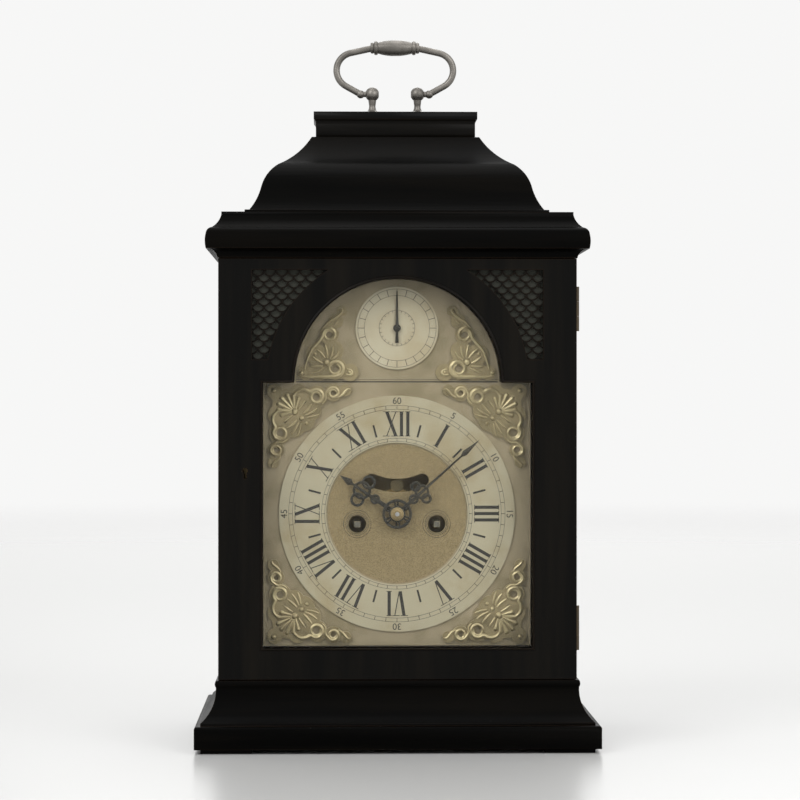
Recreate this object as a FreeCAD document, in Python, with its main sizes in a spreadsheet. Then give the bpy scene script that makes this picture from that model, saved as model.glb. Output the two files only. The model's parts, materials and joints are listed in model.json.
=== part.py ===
import FreeCAD, Part
import math
import os
import re
from FreeCAD import Placement, Rotation, Vector
from Sketcher import Constraint

# Bracket clock in an ebonised case. Millimetres, X to the right, the dial faces -Y, Z up.
# The origin is under the middle of the base. Turning about +Y is clockwise, seen from the front.

SIZES = {
    # case
    "case_width": 240.0,
    "case_depth": 170.0,
    "side_thickness": 11.0,
    "board_thickness": 8.0,
    "board_rise": 11.0,
    "rail_height": 22.0,
    "foot_height": 3.0,
    "foot_size": 34.0,
    "foot_inset": 4.0,
    # base moulding, from the bottom up
    "plinth_height": 13.5,
    "plinth_projection": 15.5,
    "step_height": 3.5,
    "step_depth": 4.0,
    "cove_height": 23.0,
    "cove_depth": 10.0,
    "cove_sag": 3.0,
    "bead_height": 4.5,
    "bead_rise": 0.7,
    # cornice, from the bottom up
    "cornice_quirk": 0.5,
    "cornice_cove": 6.0,
    "cornice_projection": 8.0,
    "cornice_nose": 10.0,
    "cornice_nose_rise": 0.6,
    "cornice_shoulder": 4.0,
    "cornice_knee": 4.3,
    "cornice_slope": 13.0,
    "cornice_fillet": 2.0,
    "cornice_setback": 2.0,
    "cornice_bearing": 30.0,
    "cornice_sag": 2.0,
    # bell top and cap, from the bottom up
    "bell_setback": 17.0,
    "bell_foot_height": 2.5,
    "bell_foot_step": 3.0,
    "bell_cove_height": 16.5,
    "bell_cove_depth": 8.0,
    "bell_cove_sag": 1.0,
    "shoulder_height": 16.3,
    "shoulder_depth": 11.5,
    "shoulder_rise": 1.8,
    "neck_height": 20.7,
    "neck_depth": 22.5,
    "neck_sag": 2.2,
    "bell_wall": 8.0,
    "cap_height": 17.7,
    "cap_inset": 1.3,
    "cap_waist": 1.5,
    "cap_waist_height": 9.0,
    "cap_lip_height": 5.0,
    # carrying handle
    "post_spacing": 31.6,
    "post_radius": 3.0,
    "post_waist": 2.4,
    "post_sag": 0.4,
    "post_foot_radius": 6.5,
    "post_foot_height": 3.0,
    "shank_radius": 1.95,
    "shank_play": 0.15,
    "shank_end": 2.0,
    "post_nut_radius": 4.5,
    "post_nut_height": 3.0,
    "ball_radius": 5.0,
    "pivot_rise": 14.3,
    "handle_pin_radius": 2.0,
    "handle_pin_reach": 4.0,
    "pivot_play": 0.05,
    "wire_radius": 2.3,
    "boss_radius": 2.9,
    "handle_play": 0.3,
    "curl_radius": 12.5,
    "curl_offset": 28.3,
    "curl_rise": 16.7,
    "grip_rise": 32.4,
    "grip_length": 34.0,
    "grip_radius": 5.5,
    "grip_end_radius": 3.4,
    "grip_ring": 2.5,
    "grip_ring_radius": 4.4,
    "grip_neck_radius": 3.85,
    "grip_sag": 0.5,
    "grip_socket": 2.0,
    # front door
    "door_thickness": 17.0,
    "door_gap": 0.5,
    "door_rail": 20.7,
    "door_stile": 29.5,
    "opening_drop": 2.4,
    "arch_shoulder": 21.0,
    "arch_margin": 12.8,
    "door_reveal": 0.5,
    "door_lip": 4.0,
    "rebate": 4.5,
    "glass_thickness": 2.0,
    "glass_play": 0.3,
    # pierced frets with silk behind them
    "fret_ring": 18.0,
    "fret_stile": 22.5,
    "fret_top": 7.5,
    "fret_foot": 14.8,
    "fret_lip": 2.5,
    "fret_rebate": 2.0,
    "fret_thickness": 2.0,
    "silk_thickness": 0.6,
    "fret_bar": 1.0,
    "door_scale": 8.0,
    "side_scale": 12.0,
    "window_width": 76.0,
    "window_height": 130.0,
    "window_rise": 57.0,
    "window_lip": 5.0,
    # hinges
    "hinge_height": 30.0,
    "hinge_inset": 33.0,
    "hinge_proud": 1.0,
    "knuckle_radius": 2.2,
    "knuckle_play": 0.2,
    "knuckle_relief": 0.3,
    "hinge_pin_radius": 1.1,
    "leaf_thickness": 1.6,
    "leaf_width": 11.0,
    # front door lock
    "lock_width": 12.0,
    "lock_depth": 6.0,
    "lock_height": 30.0,
    "lock_gap": 1.0,
    "lock_drop": 2.0,
    "bolt_length": 8.0,
    "bolt_width": 2.5,
    "bolt_height": 8.0,
    "bolt_play": 0.1,
    "bolt_travel": 4.0,
    "bolt_end_room": 0.5,
    "keyhole_radius": 1.8,
    "keyhole_slot": 1.8,
    "keyhole_drop": 5.4,
    # back of the case
    "back_thickness": 12.0,
    "back_stile": 17.0,
    "back_sill": 52.0,
    "back_head": 34.1,
    "rear_stile": 22.0,
    "button_width": 7.0,
    "button_reach": 13.0,
    "button_tail": 6.0,
    "button_thickness": 2.5,
    "button_setback": 5.0,
    "button_gap": 0.2,
    "button_shank": 1.5,
    "button_depth": 6.5,
    "button_head": 2.6,
    "button_head_height": 1.0,
    # dial
    "mask_thickness": 6.0,
    "dial_gap": 0.3,
    "dial_thickness": 2.0,
    "dial_edge": 1.5,
    "dial_foot_radius": 2.5,
    "dial_foot_length": 21.2,
    "dial_foot_offset": 50.0,
    "dial_foot_rise": 55.0,
    "dial_hole_play": 0.55,
    "ring_margin": 10.5,
    "ring_band": 32.0,
    "ring_thickness": 1.2,
    "arch_disc_radius": 28.0,
    "arch_disc_margin": 5.1,
    "arch_arbor": 1.5,
    "spandrel_thickness": 1.8,
    "spandrel_edge": 2.5,
    "spandrel_gap": 1.5,
    "spandrel_pierce": 3.2,
    "winding_hole": 6.0,
    "winding_offset": 26.9,
    "winding_drop": 7.0,
    "slot_radius": 42.0,
    "slot_width": 9.0,
    "slot_angle": 24.0,
    # hands
    "hand_thickness": 0.8,
    "hour_hand_gap": 3.3,
    "hand_gap": 2.0,
    "hour_tip_gap": 1.0,
    "hour_stem": 3.2,
    "minute_tip_gap": 5.0,
    "minute_stem": 2.4,
    "hand_hub": 10.0,
    "hand_boss": 5.5,
    "hand_bow": 1.8,
    "hand_spoke": 1.2,
    "hour_angle": 304.0,
    "minute_angle": 48.0,
    "collet_radius": 4.5,
    "collet_height": 0.8,
    "collet_dome_radius": 3.0,
    "collet_dome_height": 1.0,
    "arch_hand_hub": 2.6,
    "arch_hand_width": 2.2,
    "arch_hand_point": 0.7,
    "arch_tip_gap": 3.0,
    "arch_hand_tail": 10.0,
    "arch_hand_gap": 1.0,
    "arch_arbor_end": 2.5,
    "arch_lever_gap": 2.0,
    "arch_lever_width": 4.0,
    "arch_lever_length": 22.0,
    "arch_lever_thickness": 1.5,
    # movement
    "plate_thickness": 2.5,
    "plate_spacing": 59.5,
    "plate_width": 124.0,
    "plate_drop": 84.0,
    "plate_rise": 74.0,
    "pillar_radius": 3.5,
    "pillar_offset": 56.0,
    "pillar_inset": 8.0,
    "pillar_collar": 3.0,
    "pillar_waist": 2.6,
    "pillar_swell": 3.0,
    "pillar_centre_drop": 2.0,
    "seat_thickness": 10.0,
    "seat_housing": 4.0,
    "seat_lip": 4.0,
    "seat_overhang": 14.0,
    "bearing_play": 0.05,
    "fusee_arbor": 3.0,
    "fusee_nose": 3.0,
    "winding_square": 4.2,
    "winding_reach": 3.3,
    "fusee_large": 20.0,
    "fusee_small": 9.0,
    "fusee_length": 34.0,
    "fusee_hollow": 2.4,
    "wheel_thickness": 2.4,
    "wheel_hub": 5.0,
    "great_wheel_setback": 8.0,
    "great_wheel_stagger": 4.0,
    "barrel_offset": 31.0,
    "barrel_drop": 56.0,
    "barrel_setback": 9.0,
    "barrel_radius": 22.0,
    "barrel_length": 40.0,
    "barrel_flange": 1.0,
    "barrel_cheek": 1.5,
    "barrel_arbor": 2.5,
    "barrel_nose": 4.5,
    "ratchet_radius": 8.0,
    "ratchet_thickness": 1.6,
    "ratchet_gap": 0.2,
    "gut_radius": 0.9,
    "gut_clearance": 0.3,
    "centre_arbor_radius": 1.4,
    "centre_arbor_nose": 2.5,
    "centre_wheel_setback": 6.5,
    "centre_rim": 3.0,
    "cannon_wall": 0.85,
    "hour_pipe_wall": 1.2,
    "pipe_spigot": 0.4,
    "thin_wheel": 1.4,
    "pinion_overlap": 1.0,
    "motion_distance": 18.0,
    "motion_gap": 1.6,
    "stud_radius": 0.7,
    "stud_end": 2.0,
    "stud_collar": 1.8,
    "stud_collar_height": 1.4,
    "contrate_rise": 24.0,
    "contrate_radius": 17.0,
    "contrate_arbor": 1.0,
    "contrate_band": 0.8,
    "contrate_hub": 4.0,
    "contrate_tooth": 0.4,
    "crown_setback": 33.0,
    "crown_radius": 11.0,
    "crown_arbor": 0.8,
    "crown_drop": 14.0,
    "crown_leaf": 0.34,
    "crown_leaf_length": 4.0,
    "crown_web_rise": 5.0,
    "crown_web": 1.2,
    "crown_rim_height": 4.0,
    "crown_rim": 0.6,
    "crown_tooth_width": 1.1,
    "crown_tooth_rake": 1.0,
    "crown_tooth_height": 2.6,
    "potence_width": 16.0,
    "potence_thickness": 2.5,
    "potence_arm": 9.0,
    "potence_nose": 1.8,
    "potence_base": 4.0,
    "potence_cup": 1.2,
    "potence_head": 2.0,
    "verge_rise": 61.0,
    "verge_radius": 1.3,
    "verge_reach": 1.7,
    "verge_hole": 3.25,
    "pallet_width": 4.0,
    "pallet_length": 6.0,
    "pallet_thickness": 1.0,
    "pallet_lean": 45.0,
    "cock_gap": 2.5,
    "cock_width": 38.0,
    "cock_leg": 6.0,
    "cock_height": 12.0,
    "cock_thickness": 3.0,
    "pendulum_length": 127.0,
    "pendulum_setback": 5.5,
    "bob_radius": 15.0,
    "bob_thickness": 8.0,
    "bob_flat": 7.5,
    "bob_rim": 1.2,
    "bob_socket": 4.0,
    "mock_bob_radius": 4.4,
    "mock_bob_thickness": 1.5,
    "mock_wire": 1.2,
    "mock_wire_thickness": 1.3,
    "bell_radius": 36.0,
    "bell_height": 26.0,
    "bell_waist": 29.5,
    "bell_waist_rise": 16.0,
    "bell_crown": 9.0,
    "bell_hole": 2.1,
    "bell_thickness": 1.8,
    "bell_gap": 14.0,
    "stand_offset": 38.0,
    "stand_width": 9.0,
    "stand_foot": 30.0,
    "stand_thickness": 3.0,
    "stand_rise": 5.5,
    "stand_arm": 8.0,
    "bell_bolt": 1.95,
    "bell_bolt_end": 6.0,
    "bell_washer": 5.0,
    "bell_nut": 4.5,
    "bell_nut_height": 3.0,
    "hammer_offset": 44.0,
    "hammer_drop": 36.0,
    "hammer_gap": 1.2,
    "hammer_stem": 2.4,
    "hammer_head": 3.6,
    "hammer_length": 10.0,
    "hammer_rise": 3.0,
}

TEETH = {
    "great": 96, "centre_pinion": 8, "centre": 72, "contrate_pinion": 6, "contrate": 72, "crown_pinion": 6,
    "crown": 35, "cannon": 40, "minute": 40, "minute_pinion": 6, "hour": 72, "ratchet": 24,
}

# Castings on the dial, as round lobes: across, up and radius, all as shares of the corner or the arch.
# The corner lobes off the diagonal come twice, mirrored in it.
CORNER_LOBES = {
    "point": (0.94, 0.94, 0.06), "shell": (0.84, 0.84, 0.12), "root": (0.72, 0.72, 0.09),
    "flank": (0.92, 0.76, 0.075), "great_scroll": (0.90, 0.62, 0.085), "heart": (0.79, 0.66, 0.075),
    "small_scroll": (0.93, 0.49, 0.065), "tendril": (0.95, 0.395, 0.045),
}
ARCH_LOBES = {
    "base": (0.46, 0.09, 0.085), "great_scroll": (0.60, 0.13, 0.11), "leaf": (0.76, 0.11, 0.10),
    "tip": (0.89, 0.09, 0.075), "heart": (0.62, 0.30, 0.10), "flank": (0.79, 0.27, 0.10),
    "eye": (0.69, 0.20, 0.06), "small_scroll": (0.66, 0.46, 0.095), "tendril": (0.60, 0.59, 0.075),
    "bud": (0.54, 0.69, 0.055),
}
PIERCED = ("great_scroll", "small_scroll")
# Bows of the hands: across in millimetres, along as a share of the length, radius in millimetres.
HOUR_BOWS = [(0, 0.38, 3.4), (0, 0.61, 6.2), (-7.0, 0.59, 4.8), (7.0, 0.59, 4.8)]
MINUTE_BOWS = [(0, 0.20, 3.4), (0, 0.30, 5.0), (-5.4, 0.29, 3.6), (5.4, 0.29, 3.6)]

# Places worked out from the sizes. Front and back are along Y, low and high along Z.
LAYOUT = {
    "side": "case_width / 2",
    "inside": "side - side_thickness",
    "front": "-case_depth / 2",
    "back": "case_depth / 2",
    "door_back": "front + door_thickness",
    "carcass_front": "door_back + door_gap",
    "back_inner": "back - back_thickness",
    "cove_low": "foot_height + plinth_height + step_height",
    "bead_low": "cove_low + cove_height",
    "base_top": "bead_low + bead_height",
    "door_low": "base_top + door_gap",
    "opening_low": "door_low + door_rail",
    "opening_half": "side - door_stile",
    "opening_square": "2 * opening_half - opening_drop",
    "arch_radius": "opening_half - arch_shoulder",
    "dial_centre": "opening_low + opening_square / 2",
    "spring": "opening_low + opening_square",
    "door_high": "spring + arch_radius + arch_margin",
    "cornice_low": "door_high + door_gap",
    "case_top": "cornice_low + rail_height",
    "cornice_top": "cornice_low + cornice_cove + cornice_nose + cornice_slope + cornice_fillet",
    "bell_cove_low": "cornice_top + bell_foot_height",
    "shoulder_low": "bell_cove_low + bell_cove_height",
    "neck_low": "shoulder_low + shoulder_height",
    "neck_top": "neck_low + neck_height",
    "neck_inset": "bell_setback + bell_foot_step + bell_cove_depth + shoulder_depth + neck_depth",
    "cap_top": "neck_top + cap_height",
    "pivot": "cap_top + pivot_rise",
    "board_low": "foot_height + board_rise",
    "glass_front": "front + door_lip",
    "fret_front": "front + fret_lip",
    "silk_front": "fret_front + fret_thickness",
    "fret_radius": "arch_radius + door_reveal + fret_ring",
    "mask_back": "carcass_front + mask_thickness",
    "dial_front": "mask_back + dial_gap",
    "dial_back": "dial_front + dial_thickness",
    "ring_front": "dial_front - ring_thickness",
    "hour_hand_back": "ring_front - hour_hand_gap",
    "minute_hand_back": "hour_hand_back - hand_thickness - hand_gap",
    "minute_hand_front": "minute_hand_back - hand_thickness",
    "plate_front": "dial_back + dial_foot_length",
    "movement_front": "plate_front + plate_thickness",
    "movement_back": "movement_front + plate_spacing",
    "plate_back": "movement_back + plate_thickness",
    "plate_low": "dial_centre - plate_drop",
    "plate_high": "dial_centre + plate_rise",
    "seat_low": "plate_low - seat_thickness",
    "seat_front": "plate_front - seat_lip",
    "seat_back": "plate_back + seat_overhang",
    "winding": "dial_centre - winding_drop",
    "barrel": "dial_centre - barrel_drop",
    "great_back": "movement_back - great_wheel_setback",
    "great_front": "great_back - wheel_thickness",
    "cone_front": "great_front - fusee_length",
    "barrel_back": "movement_back - barrel_setback",
    "barrel_front": "barrel_back - barrel_length",
    "contrate": "dial_centre + contrate_rise",
    "verge": "dial_centre + verge_rise",
    "bob": "verge - pendulum_length",
    "pendulum": "plate_back + pendulum_setback",
    "cock_front": "pendulum + cock_gap",
    "cock_back": "cock_front + cock_thickness",
    "crown": "plate_front + crown_setback",
    "crown_low": "contrate + contrate_rise - crown_drop",
    "cannon_radius": "centre_arbor_radius + cannon_wall",
    "hour_bore": "cannon_radius + bearing_play",
    "cannon_front": "plate_front - motion_gap - thin_wheel",
    "hour_front": "cannon_front - motion_gap - thin_wheel",
    "ring_outer": "opening_half - ring_margin",
    "ring_inner": "ring_outer - ring_band",
    "arch_centre": "spring + arch_radius - arch_disc_margin - arch_disc_radius",
    "window_centre": "(carcass_front + back) / 2",
    "window_low": "door_low + window_rise",
    "window_spring": "window_low + window_height",
    "window_in": "side - window_lip",
    "rear_opening": "inside - back_stile",
    "rear_sill": "foot_height + back_sill",
    "rear_head": "case_top - back_head",
    "rear_half": "rear_opening - door_gap",
    "rear_low": "rear_sill + door_gap",
    "rear_high": "rear_head - door_gap",
    "rear_glass_half": "rear_half - rear_stile",
    "rear_spring": "rear_high - rear_stile - rear_glass_half",
    "hinge_x": "side + hinge_proud",
    "hinge_y": "door_back + door_gap / 2",
    "rear_hinge_x": "rear_opening - door_gap / 2",
    "rear_hinge_y": "back + hinge_proud",
    "lock_left": "-inside + lock_gap",
    "lock_middle": "opening_low + opening_square * 2 / 3",
    "button_x": "-rear_opening - button_setback",
    "button_z": "(rear_sill + rear_head) / 2",
    "bell_low": "plate_high + bell_gap",
    "bell_top": "bell_low + bell_height",
    "hammer": "plate_high - hammer_drop",
}

doc = FreeCAD.newDocument("bracket_clock")
sizes = doc.addObject("Spreadsheet::Sheet", "sizes")
for row, (alias, value) in enumerate(SIZES.items(), 1):
    sizes.set(f"A{row}", alias.replace("_", " "))
    sizes.set(f"B{row}", str(value))
    sizes.setAlias(f"B{row}", alias)
doc.recompute()


def formula(text):
    """Point each size named in the text at its cell, and each place at the layout."""
    def target(match):
        word = match.group()
        if word in SIZES:
            return "sizes." + word
        return "layout." + word if word in LAYOUT else word
    return re.sub(r"[a-z_]+", target, str(text))


layout = doc.addObject("App::VarSet", "layout")
for place, text in LAYOUT.items():
    layout.addProperty("App::PropertyFloat", place)
    layout.setExpression(place, formula(text))
doc.recompute()

pieces = []


# ---- building blocks bound to the sheet ----

def bind(thing, formulas):
    for name, text in formulas.items():
        thing.setExpression(name, formula(text))
    return thing


def block(x, y, z):
    """Box between the two formulas given for each axis."""
    spans = {"Length": x, "Width": y, "Height": z}
    formulas = {name: f"({high}) - ({low})" for name, (low, high) in spans.items()}
    for axis, (low, _) in zip("xyz", (x, y, z)):
        formulas[f"Placement.Base.{axis}"] = low
    return bind(doc.addObject("Part::Box", "block"), formulas)


ALONG = {"x": Rotation(Vector(0, 1, 0), 90), "y": Rotation(Vector(1, 0, 0), -90), "z": Rotation()}


def rod(axis, radius, span, centre):
    """Round bar along an axis over a span. The centre gives the other two coordinates."""
    cylinder = doc.addObject("Part::Cylinder", "rod")
    cylinder.Placement = Placement(Vector(), ALONG[axis])
    base = dict(zip("xyz".replace(axis, ""), centre))
    base[axis] = span[0]
    formulas = {f"Placement.Base.{name}": text for name, text in base.items()}
    return bind(cylinder, {"Radius": radius, "Height": f"({span[1]}) - ({span[0]})", **formulas})


def fuse(*things):
    result = doc.addObject("Part::MultiFuse", "fuse")
    result.Shapes = list(things)
    result.Refine = True
    return result


def cut(base, *tools):
    result = doc.addObject("Part::Cut", "cut")
    result.Base = base
    result.Tool = tools[0] if len(tools) == 1 else fuse(*tools)
    return result


def group(*things):
    result = doc.addObject("Part::Compound", "group")
    result.Links = list(things)
    return result


def piece(label, thing):
    thing.Label = label
    pieces.append(thing)
    return thing


def shaped(label, shape):
    """Sub-part whose outline has no primitive: its shape is worked out from the sheet."""
    feature = doc.addObject("Part::Feature", label)
    feature.Shape = shape
    return piece(label, feature)


def arched(axis, half, low, spring, radius, span):
    """Plate with a round arch on top, through a span along the axis. Half is half its width."""
    centre = (0, spring)
    across = {"x": "y", "y": "x"}[axis]
    sides = {across: (f"-({half})", half), axis: span, "z": (low, spring)}
    square = block(sides["x"], sides["y"], sides["z"])
    return fuse(square, rod(axis, radius, span, centre))


def sketch_on(body, role, depth):
    """Sketch on one of the body's own planes, moved along the plane's normal."""
    sketch = body.newObject("Sketcher::SketchObject", "outline")
    plane = [feature for feature in body.Origin.OriginFeatures if feature.Role == role][0]
    sketch.AttachmentSupport = (plane, [""])
    sketch.MapMode = "FlatFace"
    sketch.setExpression("AttachmentOffset.Base.z", formula(depth))
    return sketch


def constrain(sketch, kind, name, text, *where):
    index = sketch.addConstraint(Constraint(kind, *where, 1.0))
    sketch.renameConstraint(index, name)
    sketch.setExpression(f"Constraints.{name}", formula(text))


def draw_circle(sketch, radius, u, v):
    circle = sketch.addGeometry(Part.Circle(Vector(1, 1, 0), Vector(0, 0, 1), 1))
    constrain(sketch, "DistanceX", f"across{circle}", u, -1, 1, circle, 3)
    constrain(sketch, "DistanceY", f"up{circle}", v, -1, 1, circle, 3)
    constrain(sketch, "Radius", f"radius{circle}", radius, circle)


def draw_outline(sketch, points):
    """Closed run of straight lines, each corner placed by two formulas."""
    count = len(points)
    turn = 2 * math.pi / count
    rough = [Vector(math.cos(turn * n), math.sin(turn * n), 0) for n in range(count)]
    lines = [sketch.addGeometry(Part.LineSegment(rough[n], rough[(n + 1) % count])) for n in range(count)]
    for line, following, (u, v) in zip(lines, lines[1:] + lines[:1], points[1:] + points[:1]):
        sketch.addConstraint(Constraint("Coincident", line, 2, following, 1))
        constrain(sketch, "DistanceX", f"across{line}", u, -1, 1, line, 2)
        constrain(sketch, "DistanceY", f"up{line}", v, -1, 1, line, 2)


def pad(body, sketch, thickness):
    feature = body.newObject("PartDesign::Pad", "thickness")
    feature.Profile = sketch
    feature.setExpression("Length", formula(thickness))


def disc_body(label, back, thickness, radii, z):
    """Flat ring or disc facing the front: the first radius is its edge, the second its hole."""
    body = doc.addObject("PartDesign::Body", label)
    sketch = sketch_on(body, "XZ_Plane", f"-({back})")
    for radius in radii:
        draw_circle(sketch, radius, 0, z)
    pad(body, sketch, thickness)
    return piece(label, body)


# ---- outlines drawn from the sheet's values ----

PLANES = {
    "xy": lambda u, v: Vector(u, v, 0),
    "xz": lambda u, v: Vector(u, 0, v),
    "yz": lambda u, v: Vector(0, u, v),
}


def outline_face(points, plane):
    """Face inside a closed run. (u, v) follows a line, (u, v, rise) an arc bowed out by the rise."""
    place = PLANES[plane]
    edges = []
    for start, end in zip(points, points[1:] + points[:1]):
        across = end[0] - start[0]
        up = end[1] - start[1]
        chord = math.hypot(across, up)
        rise = end[2] if len(end) > 2 else 0
        if rise:
            middle = ((start[0] + end[0]) / 2 + rise * up / chord,
                      (start[1] + end[1]) / 2 - rise * across / chord)
            edges.append(Part.Arc(place(*start[:2]), place(*middle), place(*end[:2])).toShape())
        else:
            edges.append(Part.LineSegment(place(*start[:2]), place(*end[:2])).toShape())
    return Part.Face(Part.Wire(edges))


def mirrored(points, half):
    """The right-hand outline set out from the middle, then its mirror image back down."""
    right = [(half + point[0], *point[1:]) for point in points]
    left = []
    for point, above in zip(reversed(right), [None] + right[:0:-1]):
        left.append((-point[0], point[1], *(above[2:] if above else ())))
    return right + left


def mitred(points, half_width, half_depth):
    """Block with the same outline on all four sides, mitred at the corners."""
    reach = half_width + half_depth
    front = outline_face(mirrored(points, half_width), "xz")
    front.translate(Vector(0, -reach, 0))
    flank = outline_face(mirrored(points, half_depth), "yz")
    flank.translate(Vector(-reach, 0, 0))
    return front.extrude(Vector(0, 2 * reach, 0)).common(flank.extrude(Vector(2 * reach, 0, 0)))


def hollow(half_width, half_depth, low, high):
    corner = Vector(-half_width, -half_depth, low)
    return Part.makeBox(2 * half_width, 2 * half_depth, high - low, corner)


def plate(faces, back, thickness):
    """Flat piece cut from sheet: faces in the XZ plane, thickened towards the front and joined."""
    solids = [face.extrude(Vector(0, -thickness, 0)) for face in faces]
    solid = solids[0].multiFuse(solids[1:]).removeSplitter() if len(solids) > 1 else solids[0]
    solid.translate(Vector(0, back, 0))
    return solid


def disc(radius, u=0.0, v=0.0):
    return Part.Face(Part.Wire(Part.makeCircle(radius, Vector(u, 0, v), Vector(0, -1, 0))))


def bar(width, start, end, end_width=None):
    """Straight flat bar between two points, tapering if its far end has a width of its own."""
    far = width if end_width is None else end_width
    across = end[0] - start[0]
    up = end[1] - start[1]
    length = math.hypot(across, up)
    normal = (up / length, -across / length)
    corners = []
    for point, half in ((start, width / 2), (end, far / 2)):
        corners.append((point[0] + normal[0] * half, point[1] + normal[1] * half))
        corners.append((point[0] - normal[0] * half, point[1] - normal[1] * half))
    return outline_face([corners[0], corners[2], corners[3], corners[1]], "xz")


def turned(shape, angle, z):
    """Turn a flat piece clockwise about a point on the dial's middle line."""
    copy = shape.copy()
    copy.rotate(Vector(0, 0, z), Vector(0, 1, 0), angle)
    return copy


# ---- case ----

def base_feet():
    middle_x = "side + plinth_projection - foot_inset - foot_size / 2"
    middle_y = "back + plinth_projection - foot_inset - foot_size / 2"
    feet = []
    for x_side in ("-", "+"):
        for y_side in ("-", "+"):
            x = f"{x_side}1 * ({middle_x})"
            y = f"{y_side}1 * ({middle_y})"
            feet.append(block((f"{x} - foot_size / 2", f"{x} + foot_size / 2"),
                              (f"{y} - foot_size / 2", f"{y} + foot_size / 2"), ("0", "foot_height")))
    piece("base_feet", group(*feet))


def base_moulding():
    low = sizes.foot_height
    plinth_top = low + sizes.plinth_height
    step_out = sizes.plinth_projection - sizes.step_depth / 2
    cove_out = sizes.plinth_projection - sizes.step_depth
    cove_in = cove_out - sizes.cove_depth
    outline = [
        (sizes.plinth_projection, low),
        (sizes.plinth_projection, plinth_top),
        (step_out, plinth_top + sizes.step_height / 2, sizes.step_height / 6),
        (cove_out, plinth_top + sizes.step_height / 2),
        (cove_out, layout.cove_low),
        (cove_in, layout.bead_low, -sizes.cove_sag),
        (cove_in, layout.base_top, sizes.bead_rise),
    ]
    half_width = layout.side
    half_depth = layout.back
    ring = mitred(outline, half_width, half_depth)
    shaped("base_moulding", ring.cut(hollow(half_width, half_depth, low - 1, layout.base_top + 1)))


def case_boards():
    x = ("-inside", "inside")
    y = ("carcass_front", "back_inner")
    bottom = block(x, y, ("board_low", "board_low + board_thickness"))
    top = block(x, y, ("case_top - board_thickness", "case_top"))
    piece("case_boards", group(bottom, top))


def front_rails():
    x = ("-side", "side")
    y = ("front", "carcass_front")
    bottom = block(x, y, ("foot_height", "base_top"))
    top = block(x, y, ("cornice_low", "case_top"))
    piece("front_rails", group(bottom, top))


def window(inner, outer, margin):
    """Arched side window from one X to another, wider by the margin."""
    half = f"window_width / 2 + {margin}"
    span = (inner, outer)
    square = block(span, (f"window_centre - ({half})", f"window_centre + ({half})"),
                   (f"window_low - ({margin})", "window_spring"))
    return fuse(square, rod("x", half, span, ("window_centre", "window_spring")))


def case_side(name, hand):
    """Side board with its arched window, rebated inside for the fret, and housed for the seat board."""
    def span(low, high):
        return (low, high) if hand > 0 else (f"-({high})", f"-({low})")
    board = block(span("inside", "side"), ("carcass_front", "back"), ("foot_height", "case_top"))
    tools = [
        window(*span("inside", "side"), "0"),
        window(*span("inside", "window_in"), "fret_rebate"),
        block(span("inside", "inside + seat_housing"), ("seat_front", "seat_back"), ("seat_low", "plate_low")),
    ]
    if hand > 0:
        tools += front_hinge_reliefs("case")
    else:
        tools.append(bolt_room("-inside - bolt_travel - bolt_end_room", "-inside"))
    piece(name, cut(board, *tools))


def fish_scale(pitch):
    """One opening: its own arc below, and on top the arcs of the two scales above it."""
    half = pitch / 2
    own = half - sizes.fret_bar / 2
    above = half + sizes.fret_bar / 2
    # where the scale's own arc meets the arc of the scale above and to its right
    reach = half * math.sqrt(2)
    along = (own ** 2 - above ** 2 + reach ** 2) / (2 * reach)
    out = math.sqrt(own ** 2 - along ** 2)
    corner = ((along + out) / math.sqrt(2), (along - out) / math.sqrt(2))
    slope = math.radians(225)
    cheek = (half + above * math.cos(slope), half + above * math.sin(slope))
    peak = (0, half - math.sqrt(above ** 2 - half ** 2))

    def at(hand, point):
        return Vector(hand * point[0], 0, point[1])
    return Part.Face(Part.Wire([
        Part.Arc(at(-1, corner), Vector(0, 0, -own), at(1, corner)).toShape(),
        Part.Arc(at(1, corner), at(1, cheek), at(1, peak)).toShape(),
        Part.Arc(at(1, peak), at(-1, cheek), at(-1, corner)).toShape(),
    ]))


def scale_holes(pitch, low, high):
    """Rows of fish scales over a rectangle of the XZ plane, every other row half a scale along."""
    scale = fish_scale(pitch)
    rise = pitch / 2
    holes = []
    for row in range(-1, int((high[1] - low[1]) / rise) + 2):
        for column in range(-1, int((high[0] - low[0]) / pitch) + 2):
            hole = scale.copy()
            hole.translate(Vector(low[0] + column * pitch + row % 2 * rise, 0, low[1] + row * rise))
            holes.append(hole)
    return holes


def pierced(panel, field, pitch):
    """Panel pierced with fish scales, kept whole outside the field and past thin leftovers."""
    box = field.BoundBox
    holes = scale_holes(pitch, (box.XMin, box.ZMin), (box.XMax, box.ZMax))
    opened = field.common(Part.makeCompound(holes))
    whole = max(hole.Area for hole in holes)
    return panel.cut([face for face in opened.Faces if face.Area > whole / 4])


def side_frets():
    half = sizes.window_width / 2
    margin = sizes.fret_rebate
    centre = layout.window_centre
    low = layout.window_low
    spring = layout.window_spring

    def arch(grow):
        square = Part.makePlane(2 * (half + grow), spring - low + grow, Vector(-half - grow, 0, low - grow),
                                Vector(0, -1, 0), Vector(1, 0, 0))
        return square.fuse(disc(half + grow, 0, spring)).removeSplitter().Faces[0]
    sheet = pierced(arch(margin), arch(-sizes.fret_bar), sizes.side_scale)
    panel = sheet.extrude(Vector(0, -sizes.fret_thickness, 0))
    frets = []
    for hand in (-1, 1):
        fret = panel.copy()
        fret.rotate(Vector(), Vector(0, 0, 1), 90 * hand)
        outer = layout.window_in if hand > 0 else sizes.fret_thickness - layout.window_in
        fret.translate(Vector(outer - fret.BoundBox.XMax, centre, 0))
        frets.append(fret)
    shaped("side_frets", Part.makeCompound(frets))


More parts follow.
